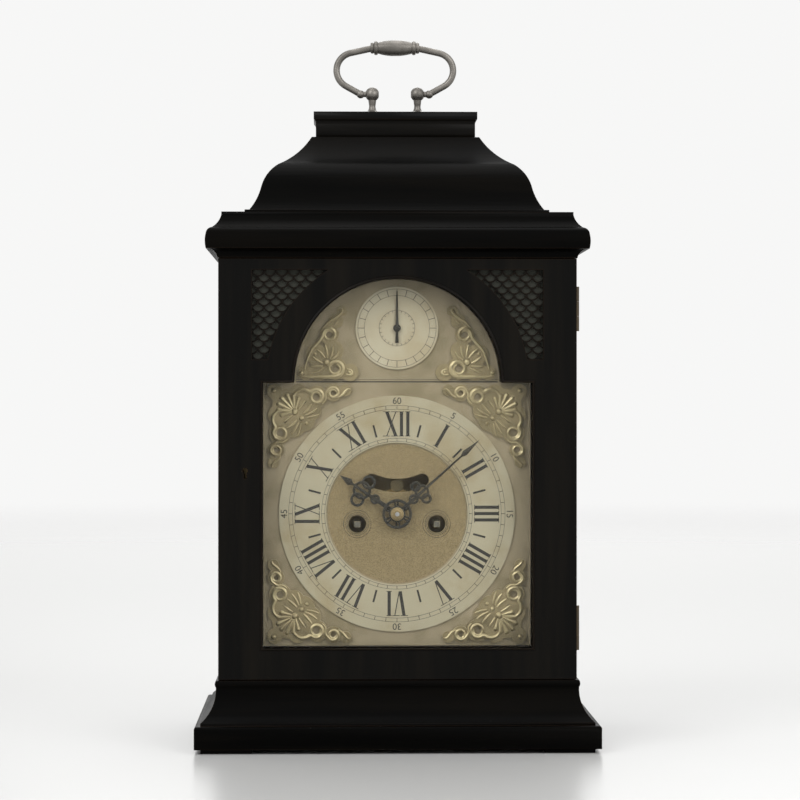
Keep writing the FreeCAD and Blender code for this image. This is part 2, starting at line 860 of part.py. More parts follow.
def side_fret_silks():
    outer = "window_in - fret_thickness"
    inner = f"{outer} - silk_thickness"
    spans = ((inner, outer), (f"-({outer})", f"-({inner})"))
    piece("side_fret_silks", group(*[window(*span, "fret_rebate") for span in spans]))


def back_frame():
    frame = block(("-inside", "inside"), ("back_inner", "back"), ("foot_height", "case_top"))
    opening = block(("-rear_opening", "rear_opening"), ("back_inner", "back"), ("rear_sill", "rear_head"))
    pivot = rod("y", "button_shank + pivot_play", ("back - button_depth", "back"), ("button_x", "button_z"))
    piece("back_frame", cut(frame, opening, pivot, *rear_hinge_reliefs("frame")))


def cornice_moulding():
    low = layout.cornice_low
    cove_top = low + sizes.cornice_cove
    nose_top = cove_top + sizes.cornice_nose
    slope_top = nose_top + sizes.cornice_slope
    outline = [
        (sizes.cornice_quirk, low),
        (sizes.cornice_projection, cove_top, -sizes.cornice_sag),
        (sizes.cornice_projection, nose_top, sizes.cornice_nose_rise),
        (sizes.cornice_shoulder, nose_top + sizes.cornice_knee, sizes.cornice_sag / 2),
        (-sizes.cornice_setback, slope_top, -sizes.cornice_sag / 2),
        (-sizes.cornice_setback, layout.cornice_top),
    ]
    block_shape = mitred(outline, layout.side, layout.back)
    lower = hollow(layout.side, layout.back, low - 1, layout.case_top)
    bearing = sizes.cornice_bearing
    upper = hollow(layout.side - bearing, layout.back - bearing, low - 1, layout.cornice_top + 1)
    shaped("cornice_moulding", block_shape.cut([lower, upper]))


def bell_top():
    foot = -sizes.bell_setback
    cove_out = foot - sizes.bell_foot_step
    cove_in = cove_out - sizes.bell_cove_depth
    shoulder_in = cove_in - sizes.shoulder_depth
    neck_in = shoulder_in - sizes.neck_depth
    outline = [
        (foot, layout.cornice_top),
        (foot, layout.bell_cove_low),
        (cove_out, layout.bell_cove_low),
        (cove_in, layout.shoulder_low, -sizes.bell_cove_sag),
        (shoulder_in, layout.neck_low, sizes.shoulder_rise),
        (neck_in, layout.neck_top, -sizes.neck_sag),
    ]
    wall = sizes.bell_wall
    inner = [
        (cove_out - wall, layout.cornice_top - 1),
        (cove_in - wall, layout.shoulder_low),
        (shoulder_in - wall, layout.neck_low - wall / 2),
        (neck_in - wall, layout.neck_top - wall),
    ]
    outside = mitred(outline, layout.side, layout.back)
    inside = mitred(inner, layout.side, layout.back)
    shaped("bell_top", outside.cut([inside] + post_shank_holes(layout.neck_top - wall - 1)))


def post_shank_holes(low):
    """Holes that the two handle posts' shanks go down through."""
    length = layout.cap_top + 1 - low
    radius = sizes.shank_radius + sizes.shank_play
    half = sizes.post_spacing / 2
    return [Part.makeCylinder(radius, length, Vector(x, 0, low)) for x in (-half, half)]


def top_cap():
    waist = -sizes.cap_waist
    low = layout.neck_top
    cove_low = low + sizes.cap_waist_height
    lip_low = layout.cap_top - sizes.cap_lip_height
    outline = [
        (waist, low),
        (waist, cove_low),
        (0.0, lip_low, -sizes.cap_waist / 4),
        (0.0, layout.cap_top),
    ]
    inset = layout.neck_inset + sizes.cap_inset
    solid = mitred(outline, layout.side - inset, layout.back - inset)
    shaped("top_cap", solid.cut(post_shank_holes(low - 1)))


# ---- handle ----

def handle_posts():
    """Turned posts with a ball head bored for the handle, a shank through the top and a nut under it."""
    half = sizes.post_spacing / 2
    shank = sizes.shank_radius
    neck = sizes.post_radius
    foot = sizes.post_foot_radius
    top = layout.cap_top
    nut_high = layout.neck_top - sizes.bell_wall
    nut_low = nut_high - sizes.post_nut_height
    shank_low = nut_low - sizes.shank_end
    neck_high = layout.pivot - sizes.ball_radius / 2
    outline = [
        (0, shank_low), (shank, shank_low), (shank, top), (foot, top),
        (foot, top + sizes.post_foot_height / 2), (neck, top + sizes.post_foot_height, -sizes.post_sag),
        (sizes.post_waist, top + sizes.pivot_rise / 2, -sizes.post_sag), (neck, neck_high), (0, neck_high),
    ]
    post = outline_face(outline, "xz").revolve(Vector(), Vector(0, 0, 1), 360)
    ball = Part.makeSphere(sizes.ball_radius, Vector(0, 0, layout.pivot))
    nut = Part.makeCylinder(sizes.post_nut_radius, sizes.post_nut_height, Vector(0, 0, nut_low))
    bore = sizes.handle_pin_radius + sizes.pivot_play
    hole = Part.makeCylinder(bore, 2 * foot, Vector(-foot, 0, layout.pivot), Vector(1, 0, 0))
    post = post.fuse([ball, nut]).cut(hole)
    posts = []
    for x in (-half, half):
        copy = post.copy()
        copy.translate(Vector(x, 0, 0))
        posts.append(copy)
    shaped("handle_posts", Part.makeCompound(posts))


def handle_grip():
    """Turned grip along X: a ring and a collar at each end, and a swell between."""
    end = sizes.grip_length / 2
    collar = end - sizes.grip_ring
    neck = collar - sizes.grip_ring
    sag = sizes.grip_sag
    right = [
        (neck, sizes.grip_neck_radius, -sag), (neck, sizes.grip_ring_radius),
        (collar, sizes.grip_ring_radius, -sag), (collar, sizes.grip_end_radius),
        (end, sizes.grip_end_radius, -sag), (end, 0),
    ]
    left = [
        (-end, 0), (-end, sizes.grip_end_radius), (-collar, sizes.grip_end_radius, -sag),
        (-collar, sizes.grip_ring_radius), (-neck, sizes.grip_ring_radius, -sag), (-neck, sizes.grip_neck_radius),
    ]
    outline = left + [(0, sizes.grip_radius, -sag)] + right
    grip = outline_face(outline, "xz").revolve(Vector(), Vector(1, 0, 0), 360)
    grip.translate(Vector(0, 0, layout.pivot + sizes.grip_rise))
    return grip


def carrying_handle():
    """Bail with two round curls, a turned grip and a pin at each end that turns in a post."""
    pivot = layout.pivot
    radius = sizes.curl_radius
    curl = Vector(sizes.curl_offset, 0, pivot + sizes.curl_rise)
    half = sizes.post_spacing / 2
    knob = Vector(half + sizes.ball_radius + sizes.boss_radius + sizes.handle_play, 0, pivot)
    grip_end = Vector(sizes.grip_length / 2 - sizes.grip_socket, 0, pivot + sizes.grip_rise)

    def touch(point, hand):
        """Where a straight line from the point meets the curl at a tangent."""
        away = point - curl
        turn = math.atan2(away.z, away.x) + hand * math.acos(radius / away.Length)
        return curl + Vector(radius * math.cos(turn), 0, radius * math.sin(turn))
    start = touch(knob, 1)
    end = touch(grip_end, -1)
    path = Part.Wire([
        Part.LineSegment(knob, start).toShape(),
        Part.Arc(start, curl + Vector(radius, 0, 0), end).toShape(),
        Part.LineSegment(end, grip_end).toShape(),
    ])
    section = Part.Wire(Part.makeCircle(sizes.wire_radius, knob, start - knob))
    arm = path.makePipeShell([section], True, False)
    pin_end = Vector(half - sizes.handle_pin_reach, 0, pivot)
    pin = Part.makeCylinder(sizes.handle_pin_radius, knob.x - pin_end.x, pin_end, Vector(1, 0, 0))
    boss = Part.makeSphere(sizes.boss_radius, knob)
    side = arm.fuse([pin, boss])
    other = side.mirror(Vector(), Vector(1, 0, 0))
    shaped("carrying_handle", side.fuse([other, handle_grip()]).removeSplitter())


# ---- front door ----

def aperture(grow, span):
    """Break-arch opening of the dial, wider all round by a formula."""
    half = f"opening_half + ({grow})"
    return arched("y", half, f"opening_low - ({grow})", "spring", f"arch_radius + ({grow})", span)


def fret_panel(hand, grow):
    """Face of one corner fret: square outside, hollowed by the ring round the arch.

    Its foot is level, or a point where a narrow case brings the ring to the stile first.
    """
    radius = layout.fret_radius - grow
    outer = layout.side - sizes.fret_stile + grow
    top = layout.door_high - sizes.fret_top + grow
    level = layout.spring + sizes.fret_foot - grow
    start = math.sqrt(radius ** 2 - (top - layout.spring) ** 2)
    end = math.sqrt(radius ** 2 - (level - layout.spring) ** 2)
    corners = [(end, level), (outer, level), (outer, top), (start, top)]
    if end >= outer:
        end = outer
        level = layout.spring + math.sqrt(radius ** 2 - outer ** 2)
        corners = [(outer, level), (outer, top), (start, top)]
    middle = (math.acos(start / radius) + math.acos(end / radius)) / 2

    def at(u, v):
        return Vector(hand * u, 0, v)
    edges = [Part.LineSegment(at(*a), at(*b)).toShape() for a, b in zip(corners, corners[1:])]
    bend = at(radius * math.cos(middle), layout.spring + radius * math.sin(middle))
    edges.append(Part.Arc(at(start, top), bend, at(end, level)).toShape())
    return Part.Face(Part.Wire(Part.__sortEdges__(edges)))


def between(face, low, high):
    """Solid of a face in the XZ plane between two places along Y."""
    solid = face.extrude(Vector(0, high - low, 0))
    solid.translate(Vector(0, low, 0))
    return solid


def front_door_frame():
    frame = block(("-side", "side"), ("front", "door_back"), ("door_low", "door_high"))
    key_x = "lock_left + lock_width / 2"
    keyhole = fuse(
        rod("y", "keyhole_radius", ("front", "door_back"), (key_x, "lock_middle")),
        block((f"{key_x} - keyhole_slot / 2", f"{key_x} + keyhole_slot / 2"), ("front", "door_back"),
              ("lock_middle - keyhole_drop", "lock_middle")))
    opened = cut(frame, aperture("door_reveal", ("front", "door_back")),
                 aperture("door_reveal + rebate", ("glass_front", "door_back")), keyhole,
                 *front_hinge_reliefs("door"))
    doc.recompute()
    tools = []
    for hand in (-1, 1):
        tools.append(between(fret_panel(hand, 0), layout.front - 1, layout.fret_front + 1))
        tools.append(between(fret_panel(hand, sizes.fret_rebate), layout.fret_front, layout.door_back + 1))
    shaped("front_door_frame", opened.Shape.cut(tools))


def front_door_glass():
    grow = "door_reveal + rebate - glass_play"
    piece("front_door_glass", aperture(grow, ("glass_front", "glass_front + glass_thickness")))


def door_frets():
    frets = []
    for hand in (-1, 1):
        sheet = pierced(fret_panel(hand, sizes.fret_rebate), fret_panel(hand, 0), sizes.door_scale)
        frets.append(between(sheet, layout.fret_front, layout.silk_front))
    shaped("door_frets", Part.makeCompound(frets))


def door_fret_silks():
    silks = []
    for hand in (-1, 1):
        face = fret_panel(hand, sizes.fret_rebate)
        silks.append(between(face, layout.silk_front, layout.silk_front + sizes.silk_thickness))
    shaped("door_fret_silks", Part.makeCompound(silks))


# ---- hinges, lock and turnbutton ----

def hinge_leaf(side, fixed):
    """Leaf in the hinge's own frame: axis on Z, plate towards -X, on one side of it in Y."""
    radius = sizes.knuckle_radius
    height = sizes.hinge_height
    near = sizes.door_gap / 2
    low_y = near if side > 0 else -near - sizes.leaf_thickness
    edge = radius + sizes.knuckle_relief
    width = sizes.leaf_width - edge
    leaf = Part.makeBox(width, sizes.leaf_thickness, height, Vector(-sizes.leaf_width, low_y, -height / 2))
    play = sizes.knuckle_play
    spans = [(-height / 2, -height / 6), (height / 6, height / 2)]
    if not fixed:
        spans = [(-height / 6 + play, height / 6 - play)]
    parts = []
    for low, high in spans:
        parts.append(Part.makeBox(edge, sizes.leaf_thickness, high - low, Vector(-edge, low_y, low)))
        parts.append(Part.makeCylinder(radius, high - low, Vector(0, 0, low)))
    if fixed:
        parts.append(Part.makeCylinder(sizes.hinge_pin_radius, height, Vector(0, 0, -height / 2)))
        return leaf.fuse(parts)
    bore = Part.makeCylinder(sizes.hinge_pin_radius + sizes.pivot_play, height, Vector(0, 0, -height / 2))
    return leaf.fuse(parts).cut(bore)


def hinge_places():
    """Placement of each hinge: the front door's two, then the rear door's two."""
    front = [layout.door_low + sizes.hinge_inset, layout.door_high - sizes.hinge_inset]
    rear = [layout.rear_low + sizes.hinge_inset, layout.rear_high - sizes.hinge_inset]
    at_front = [Placement(Vector(layout.hinge_x, layout.hinge_y, z), Rotation()) for z in front]
    quarter = Rotation(Vector(0, 0, 1), 90)
    at_rear = [Placement(Vector(layout.rear_hinge_x, layout.rear_hinge_y, z), quarter) for z in rear]
    return at_front, at_rear


def set_leaves(leaf, places):
    leaves = []
    for place in places:
        copy = leaf.copy()
        copy.Placement = place
        leaves.append(copy)
    return leaves


def hinges():
    at_front, at_rear = hinge_places()
    fixed = set_leaves(hinge_leaf(1, True), at_front) + set_leaves(hinge_leaf(-1, True), at_rear)
    shaped("hinge_case_leaves", Part.makeCompound(fixed))
    shaped("front_hinge_door_leaves", Part.makeCompound(set_leaves(hinge_leaf(-1, False), at_front)))
    shaped("rear_hinge_door_leaves", Part.makeCompound(set_leaves(hinge_leaf(1, False), at_rear)))


def front_hinge_reliefs(owner):
    """Recess for the leaves and knuckles of the front hinges, in the door or in the case side."""
    tools = []
    depth = "door_gap / 2 + leaf_thickness"
    y = ("hinge_y", f"hinge_y + {depth}") if owner == "case" else (f"hinge_y - ({depth})", "hinge_y")
    for middle in ("door_low + hinge_inset", "door_high - hinge_inset"):
        z = (f"{middle} - hinge_height / 2", f"{middle} + hinge_height / 2")
        tools.append(block(("hinge_x - leaf_width", "hinge_x"), y, z))
        tools.append(rod("z", "knuckle_radius + knuckle_relief", z, ("hinge_x", "hinge_y")))
    return tools


def rear_hinge_reliefs(owner):
    """The same for the rear hinges, whose leaves lie in the edges of the door and its frame."""
    tools = []
    depth = "door_gap / 2 + leaf_thickness"
    x = ("rear_hinge_x", f"rear_hinge_x + {depth}")
    if owner == "door":
        x = (f"rear_hinge_x - ({depth})", "rear_hinge_x")
    for middle in ("rear_low + hinge_inset", "rear_high - hinge_inset"):
        z = (f"{middle} - hinge_height / 2", f"{middle} + hinge_height / 2")
        tools.append(block(x, ("rear_hinge_y - leaf_width", "rear_hinge_y"), z))
        tools.append(rod("z", "knuckle_radius + knuckle_relief", z, ("rear_hinge_x", "rear_hinge_y")))
    return tools


def bolt_room(low, high):
    """Space that the bolt slides in, between two places along X."""
    y = "door_back + lock_depth / 2"
    half_y = "bolt_width / 2 + bolt_play"
    half_z = "bolt_height / 2 + bolt_play"
    return block((low, high), (f"{y} - ({half_y})", f"{y} + ({half_y})"),
                 (f"lock_middle - ({half_z})", f"lock_middle + ({half_z})"))


def front_lock():
    z = ("lock_middle - lock_height / 2", "lock_middle + lock_height / 2")
    body = block(("lock_left", "lock_left + lock_width"), ("door_back", "door_back + lock_depth"), z)
    piece("front_lock", cut(body, bolt_room("lock_left", "lock_left + bolt_length + bolt_play")))


def front_lock_bolt():
    y = "door_back + lock_depth / 2"
    bolt = block(("lock_left", "lock_left + bolt_length"), (f"{y} - bolt_width / 2", f"{y} + bolt_width / 2"),
                 ("lock_middle - bolt_height / 2", "lock_middle + bolt_height / 2"))
    piece("front_lock_bolt", bolt)


def rear_door():
    half = "rear_half"
    frame = block((f"-{half}", half), ("back_inner", "back"), ("rear_low", "rear_high"))
    glass_low = "rear_low + rear_stile"
    inner = arched("y", "rear_glass_half", glass_low, "rear_spring", "rear_glass_half", ("back_inner", "back"))
    grown = "rear_glass_half + rebate"
    rebate_span = ("back_inner", "back - door_lip")
    rebate = arched("y", grown, f"{glass_low} - rebate", "rear_spring", grown, rebate_span)
    piece("rear_door_frame", cut(frame, inner, rebate, *rear_hinge_reliefs("door")))
    fitted = f"{grown} - glass_play"
    span = ("back - door_lip - glass_thickness", "back - door_lip")
    piece("rear_door_glass", arched("y", fitted, f"{glass_low} - rebate + glass_play", "rear_spring", fitted, span))


def rear_turnbutton():
    """Flat brass button on a screw, stored upright beside the rear door."""
    low_y = "back + button_gap"
    high_y = f"{low_y} + button_thickness"
    centre = ("button_x", "button_z")
    nose_z = "button_z + button_reach - button_width / 2"
    flat = block(("button_x - button_width / 2", "button_x + button_width / 2"), (low_y, high_y),
                 ("button_z - button_tail", nose_z))
    nose = rod("y", "button_width / 2", (low_y, high_y), ("button_x", nose_z))
    shank = rod("y", "button_shank", ("back - button_depth", low_y), centre)
    head = rod("y", "button_head", (high_y, f"{high_y} + button_head_height"), centre)
    piece("rear_door_turnbutton", fuse(flat, nose, shank, head))


# ---- dial and hands ----

def dial_mask():
    """Blackened board behind the door that frames the dial, cut away for the lock."""
    span = ("carcass_front", "mask_back")
    board = block(("-inside", "inside"), span, ("board_low + board_thickness", "case_top - board_thickness"))
    reach = "lock_height / 2 + lock_gap"
    lock_room = block(("-inside", "lock_left + lock_width + lock_gap"), span,
                      (f"lock_middle - ({reach})", f"lock_middle + ({reach})"))
    piece("dial_mask", cut(board, aperture("0", span), lock_room))


def dial_plate():
    span = ("dial_front", "dial_back")
    sheet = aperture("dial_edge", span)
    holes = [rod("y", "winding_hole", span, (f"{hand}winding_offset", "winding")) for hand in ("-", "")]
    holes.append(rod("y", "hour_bore + hour_pipe_wall + dial_hole_play", span, ("0", "dial_centre")))
    holes.append(rod("y", "arch_arbor + bearing_play", span, ("0", "arch_centre")))
    foot_span = ("dial_front + dial_thickness / 2", "plate_front")
    feet = []
    for hand in ("-", ""):
        for z in ("dial_centre - dial_foot_rise", "dial_centre + dial_foot_rise"):
            feet.append(rod("y", "dial_foot_radius", foot_span, (f"{hand}dial_foot_offset", z)))
    drilled = cut(fuse(sheet, *feet), *holes)
    doc.recompute()
    shaped("dial_plate", drilled.Shape.cut(mock_slot()))


def mock_slot():
    """Curved slot that the mock bob shows through, about the verge."""
    radius = sizes.slot_radius
    half = sizes.slot_width / 2
    angle = math.radians(sizes.slot_angle)
    outer = radius + half

    def at(distance, turn):
        return (distance * math.sin(turn), layout.verge - distance * math.cos(turn))
    band = disc(outer, 0, layout.verge).cut(disc(radius - half, 0, layout.verge))
    wedge = outline_face([(0, layout.verge), at(outer * 2, -angle), at(outer * 2, angle)], "xz")
    ends = [disc(half, *at(radius, turn)) for turn in (-angle, angle)]
    slot = band.common(wedge).multiFuse(ends)
    return between(slot, layout.dial_front - 1, layout.dial_back + 1)


def casting(lobes, reach, x_hand, z_hand, z, field):
    """Flat lobed casting inside a field, its scrolls pierced. Lobes are shares of the reach."""
    def at(lobe, share):
        u, v, radius = lobe
        return disc(radius * reach * share, x_hand * u * reach, z + z_hand * v * reach)
    discs = [at(lobe, 1) for _, lobe in lobes]
    holes = [at(lobe, 1 / sizes.spandrel_pierce) for name, lobe in lobes if name in PIERCED]
    face = discs[0].multiFuse(discs[1:]).common(field).cut(holes).removeSplitter()
    return plate([face], layout.dial_front, sizes.spandrel_thickness).Solids


def dial_spandrels():
    """Four corner mounts and two in the arch: lobed castings that fill the space round the rings."""
    corner = layout.opening_half - sizes.spandrel_edge
    centre = layout.dial_centre
    twice = [(name, (v, u, radius)) for name, (u, v, radius) in CORNER_LOBES.items() if u != v]
    lobes = list(CORNER_LOBES.items()) + twice
    field = Part.makePlane(2 * corner, 2 * corner, Vector(-corner, 0, centre - corner), Vector(0, -1, 0),
                           Vector(1, 0, 0))
    field = field.cut(disc(layout.ring_outer + sizes.spandrel_gap, 0, centre))
    solids = []
    for x_hand in (-1, 1):
        for z_hand in (-1, 1):
            solids += casting(lobes, corner, x_hand, z_hand, centre, field)
    arch = disc(layout.arch_radius - sizes.spandrel_edge, 0, layout.spring)
    arch = arch.cut(disc(sizes.arch_disc_radius + sizes.spandrel_gap, 0, layout.arch_centre))
    for hand in (-1, 1):
        solids += casting(list(ARCH_LOBES.items()), layout.arch_radius, hand, 1, layout.spring, arch)
    shaped("dial_spandrels", Part.makeCompound(solids))


def loop(radius, thickness, u, v):
    return disc(radius, u, v).cut(disc(radius - thickness, u, v))


def flat_hand(length, bows, stem, hole, back, angle):
    """Pierced hand: a hub with six spokes, bows along the stem and a fine tip, turned to its time."""
    hub = sizes.hand_hub
    bow = sizes.hand_bow
    faces = [disc(sizes.hand_boss), loop(hub, bow, 0, 0), bar(stem, (0, hub / 2), (0, length * 0.93), stem / 3)]
    for lean in (0, 60, 120):
        spoke = bar(sizes.hand_spoke, (0, bow / 2 - hub), (0, hub - bow / 2))
        spoke.rotate(Vector(), Vector(0, 1, 0), lean)
        faces.append(spoke)
    for across, share, radius in bows:
        faces.append(loop(radius, bow, across, share * length))
    barb = length * 0.82
    faces.append(outline_face([(0, length * 0.76), (stem * 0.8, barb), (0, length), (-stem * 0.8, barb)], "xz"))
    hand = plate(faces, back, sizes.hand_thickness)
    hand = hand.cut(arbor_at(0, 0, hole, back - sizes.hand_thickness, back))
    hand.translate(Vector(0, 0, layout.dial_centre))
    return turned(hand, angle, layout.dial_centre)


def hands():
    hour_hole = layout.hour_bore + sizes.pipe_spigot
    shaped("hour_hand", flat_hand(layout.ring_inner - sizes.hour_tip_gap, HOUR_BOWS, sizes.hour_stem,
                                  hour_hole, layout.hour_hand_back, sizes.hour_angle))
    shaped("minute_hand", flat_hand(layout.ring_outer - sizes.minute_tip_gap, MINUTE_BOWS, sizes.minute_stem,
                                    sizes.centre_arbor_radius, layout.minute_hand_back, sizes.minute_angle))


def hand_collet():
    """Domed brass collet that holds the minute hand on the centre arbor."""
    centre = ("0", "dial_centre")
    back = "minute_hand_front"
    shoulder = f"{back} - collet_height"
    front = f"{shoulder} - collet_dome_height"
    ring = rod("y", "collet_radius", (shoulder, back), centre)
    dome = rod("y", "collet_dome_radius", (front, shoulder), centre)
    bore = rod("y", "centre_arbor_radius", (front, back), centre)
    piece("hand_collet", cut(fuse(ring, dome), bore))


def strike_silent_hand():
    """Hand in the arch, with its arbor through the dial and the lever behind it."""
    z = layout.arch_centre
    back = layout.ring_front - sizes.arch_hand_gap
    tip = sizes.arch_hand_point
    wide = sizes.arch_hand_width
    length = sizes.arch_disc_radius - sizes.arch_tip_gap
    faces = [disc(sizes.arch_hand_hub), bar(wide, (0, 0), (0, length), tip),
             bar(2 * tip, (0, 0), (0, -sizes.arch_hand_tail), wide)]
    hand = plate(faces, back, sizes.hand_thickness)
    hand.translate(Vector(0, 0, z))
    lever_back = layout.dial_back + sizes.arch_lever_gap + sizes.arch_lever_thickness
    half = sizes.arch_lever_width / 2
    lever_bar = bar(2 * half, (0, half), (0, -sizes.arch_lever_length))
    lever = plate([lever_bar], lever_back, sizes.arch_lever_thickness)
    lever.translate(Vector(0, 0, z))
    arbor = arbor_at(0, z, sizes.arch_arbor, back - sizes.arch_arbor_end, lever_back)
    shaped("strike_silent_hand", hand.fuse([lever, arbor]).removeSplitter())


# ---- wheels ----

def module(distance, teeth, pinion):
    """Tooth size that puts a wheel and its pinion the given distance apart."""
    return 2 * distance / (TEETH[teeth] + TEETH[pinion])


def toothed(count, pitch_radius, size, share, angle):
    """Toothed face in the XZ plane: one tooth points along the angle, in degrees."""
    root = pitch_radius - 1.15 * size
    tip = pitch_radius + 0.7 * size
    step = 2 * math.pi / count
    points = []
    for tooth in range(count):
        middle = math.radians(angle) + tooth * step
        for radius, half in ((root, -0.75), (tip, -0.35), (tip, 0.35), (root, 0.75)):
            turn = middle + half * share * step * pitch_radius / radius
            points.append(Vector(radius * math.cos(turn), 0, radius * math.sin(turn)))
    return Part.Face(Part.makePolygon(points + points[:1]))


def crossed(face, rim, hub, bars=4):
    """Cross the wheel out: keep a rim, a hub and a few arms."""
    ring = disc(rim).cut(disc(hub))
    for arm in range(bars):
        spoke = bar(hub * 0.45, (0, hub * 0.8), (0, rim * 1.05))
        spoke.rotate(Vector(), Vector(0, 1, 0), arm * 360 / bars)
        ring = ring.cut(spoke)
    return face.cut(ring)


def wheel_at(face, x, z, front, thickness):
    solid = face.extrude(Vector(0, thickness, 0))
    solid.translate(Vector(x, front, z))
    return solid


def arbor_at(x, z, radius, front, back):
    return Part.makeCylinder(radius, back - front, Vector(x, front, z), Vector(0, 1, 0))


def heading(from_point, to_point):
    return math.degrees(math.atan2(to_point[1] - from_point[1], to_point[0] - from_point[0]))


def fusee(name, hand, stagger):
    """Grooveless fusee cone on its arbor, with the great wheel at its large end and a winding square."""
    x = hand * sizes.winding_offset
    z = layout.winding
    distance = math.hypot(sizes.winding_offset, sizes.winding_drop)
    size = module(distance, "great", "centre_pinion")
    pitch = size * TEETH["great"] / 2
    face = toothed(TEETH["great"], pitch, size, 0.30, heading((x, z), (0, layout.dial_centre)))
    wheel_front = layout.great_front + stagger
    wheel = wheel_at(face, x, z, wheel_front, sizes.wheel_thickness)
    large = sizes.fusee_large
    cone_face = outline_face([(0, layout.cone_front), (sizes.fusee_small, layout.cone_front),
                              (large, wheel_front, -sizes.fusee_hollow), (0, wheel_front)], "xy")
    cone = cone_face.revolve(Vector(), Vector(0, 1, 0), 360)
    cone.translate(Vector(x, 0, z))
    nose = layout.plate_front - sizes.fusee_nose
    arbor = arbor_at(x, z, sizes.fusee_arbor, nose, layout.plate_back)
    side = sizes.winding_square
    front = layout.dial_front - sizes.winding_reach
    square = Part.makeBox(side, nose - front, side, Vector(x - side / 2, front, z - side / 2))
    shaped(name, cone.fuse([wheel, arbor, square]).removeSplitter())


def barrel_drum(name, hand):
    """Spring barrel that turns on its fixed arbor and winds in the gut line."""
    x = f"{'-' if hand < 0 else ''}barrel_offset"
    centre = (x, "barrel")
    drum = rod("y", "barrel_radius", ("barrel_front", "barrel_back"), centre)
    cheeks = [rod("y", "barrel_radius + barrel_flange", span, centre) for span in (
        ("barrel_front", "barrel_front + barrel_cheek"), ("barrel_back - barrel_cheek", "barrel_back"))]
    bore = rod("y", "barrel_arbor + bearing_play", ("barrel_front", "barrel_back"), centre)
    piece(name, cut(fuse(drum, *cheeks), bore))


def barrel_arbors():
    """Fixed barrel arbors with the ratchet wheel that sets up each mainspring, in front of the plate."""
    radius = sizes.ratchet_radius
    count = TEETH["ratchet"]
    z = layout.barrel
    front = layout.plate_front - sizes.ratchet_gap - sizes.ratchet_thickness
    solids = []
    for x in (-sizes.barrel_offset, sizes.barrel_offset):
        arbor = arbor_at(x, z, sizes.barrel_arbor, layout.plate_front - sizes.barrel_nose, layout.plate_back)
        face = toothed(count, radius, 2 * radius / count, 0.5, 0)
        solids.append(arbor.fuse(wheel_at(face, x, z, front, sizes.ratchet_thickness)))
    shaped("barrel_arbors", Part.makeCompound(solids))


def gut_lines():
    """Straight stretch of each gut line, tangent to its barrel and its fusee."""
    y = (layout.cone_front + layout.great_front) / 2
    gut = sizes.gut_radius
    cone = (sizes.fusee_large + sizes.fusee_small) / 2 + gut
    drum = sizes.barrel_radius + gut + sizes.gut_clearance
    low = (sizes.barrel_offset, layout.barrel)
    high = (sizes.winding_offset, layout.winding)
    across = high[0] - low[0]
    up = high[1] - low[1]
    length = math.hypot(across, up)
    along = (drum - cone) / length
    out = math.sqrt(1 - along ** 2)
    normal = (out * up / length + along * across / length, -out * across / length + along * up / length)
    lines = []
    for hand in (-1, 1):
        start = Vector(hand * (low[0] + drum * normal[0]), y, low[1] + drum * normal[1])
        end = Vector(hand * (high[0] + cone * normal[0]), y, high[1] + cone * normal[1])
        lines.append(Part.makeCylinder(gut, (end - start).Length, start, end - start))
    shaped("gut_lines", Part.makeCompound(lines))


def centre_arbor():
    """Centre arbor with its pinion at the back, turned by the going great wheel."""
    distance = math.hypot(sizes.winding_offset, sizes.winding_drop)
    size = module(distance, "great", "centre_pinion")
    count = TEETH["centre_pinion"]
    z = layout.dial_centre
    angle = heading((0, z), (sizes.winding_offset, layout.winding)) + 180 / count
    face = toothed(count, size * count / 2, size, 0.26, angle)
    overlap = sizes.pinion_overlap
    pinion = wheel_at(face, 0, z, layout.great_front - overlap, sizes.wheel_thickness + 2 * overlap)
    front = layout.minute_hand_front - sizes.centre_arbor_nose
    arbor = arbor_at(0, z, sizes.centre_arbor_radius, front, layout.plate_back)
    shaped("centre_arbor", arbor.fuse(pinion))


def centre_wheel():
    size = module(sizes.contrate_rise, "centre", "contrate_pinion")
    count = TEETH["centre"]
    pitch = size * count / 2
    face = crossed(toothed(count, pitch, size, 0.30, 90), pitch - sizes.centre_rim, sizes.wheel_hub)
    face = face.cut(disc(sizes.centre_arbor_radius))
    front = layout.movement_front + sizes.centre_wheel_setback
    shaped("centre_wheel", wheel_at(face, 0, layout.dial_centre, front, sizes.thin_wheel))


def contrate_wheel():
    """Contrate wheel: its pinion faces the centre wheel, and its teeth point back at the crown pinion."""
    leaves = TEETH["contrate_pinion"]
    size = module(sizes.contrate_rise, "centre", "contrate_pinion")
    z = layout.contrate
    face = toothed(leaves, size * leaves / 2, size, 0.24, 270 + 180 / leaves)
    overlap = sizes.pinion_overlap
    front = layout.movement_front + sizes.centre_wheel_setback - overlap
    pinion = wheel_at(face, 0, z, front, sizes.thin_wheel + 2 * overlap)
    radius = sizes.contrate_radius
    band = sizes.contrate_band
    count = TEETH["contrate"]
    crown_pitch = radius * TEETH["crown_pinion"] / count
    # the teeth reach back over the crown pinion's leaves, and the wheel's web clears them
    back = layout.crown - 1.95 * crown_pitch
    web = crossed(disc(radius + band), radius - 2 * band, sizes.contrate_hub)
    wheel = wheel_at(web, 0, z, back - sizes.thin_wheel, sizes.thin_wheel)
    thick = sizes.contrate_tooth
    teeth = []
    for tooth in range(count):
        cog = Part.makeBox(thick, 1.2 * crown_pitch, 2 * band, Vector(-thick / 2, back, radius - band))
        cog.rotate(Vector(), Vector(0, 1, 0), tooth * 360 / count)
        cog.translate(Vector(0, 0, z))
        teeth.append(cog)
    arbor = arbor_at(0, z, sizes.contrate_arbor, layout.plate_front, layout.plate_back)
    shaped("contrate_wheel", wheel.fuse(teeth + [arbor, pinion]))


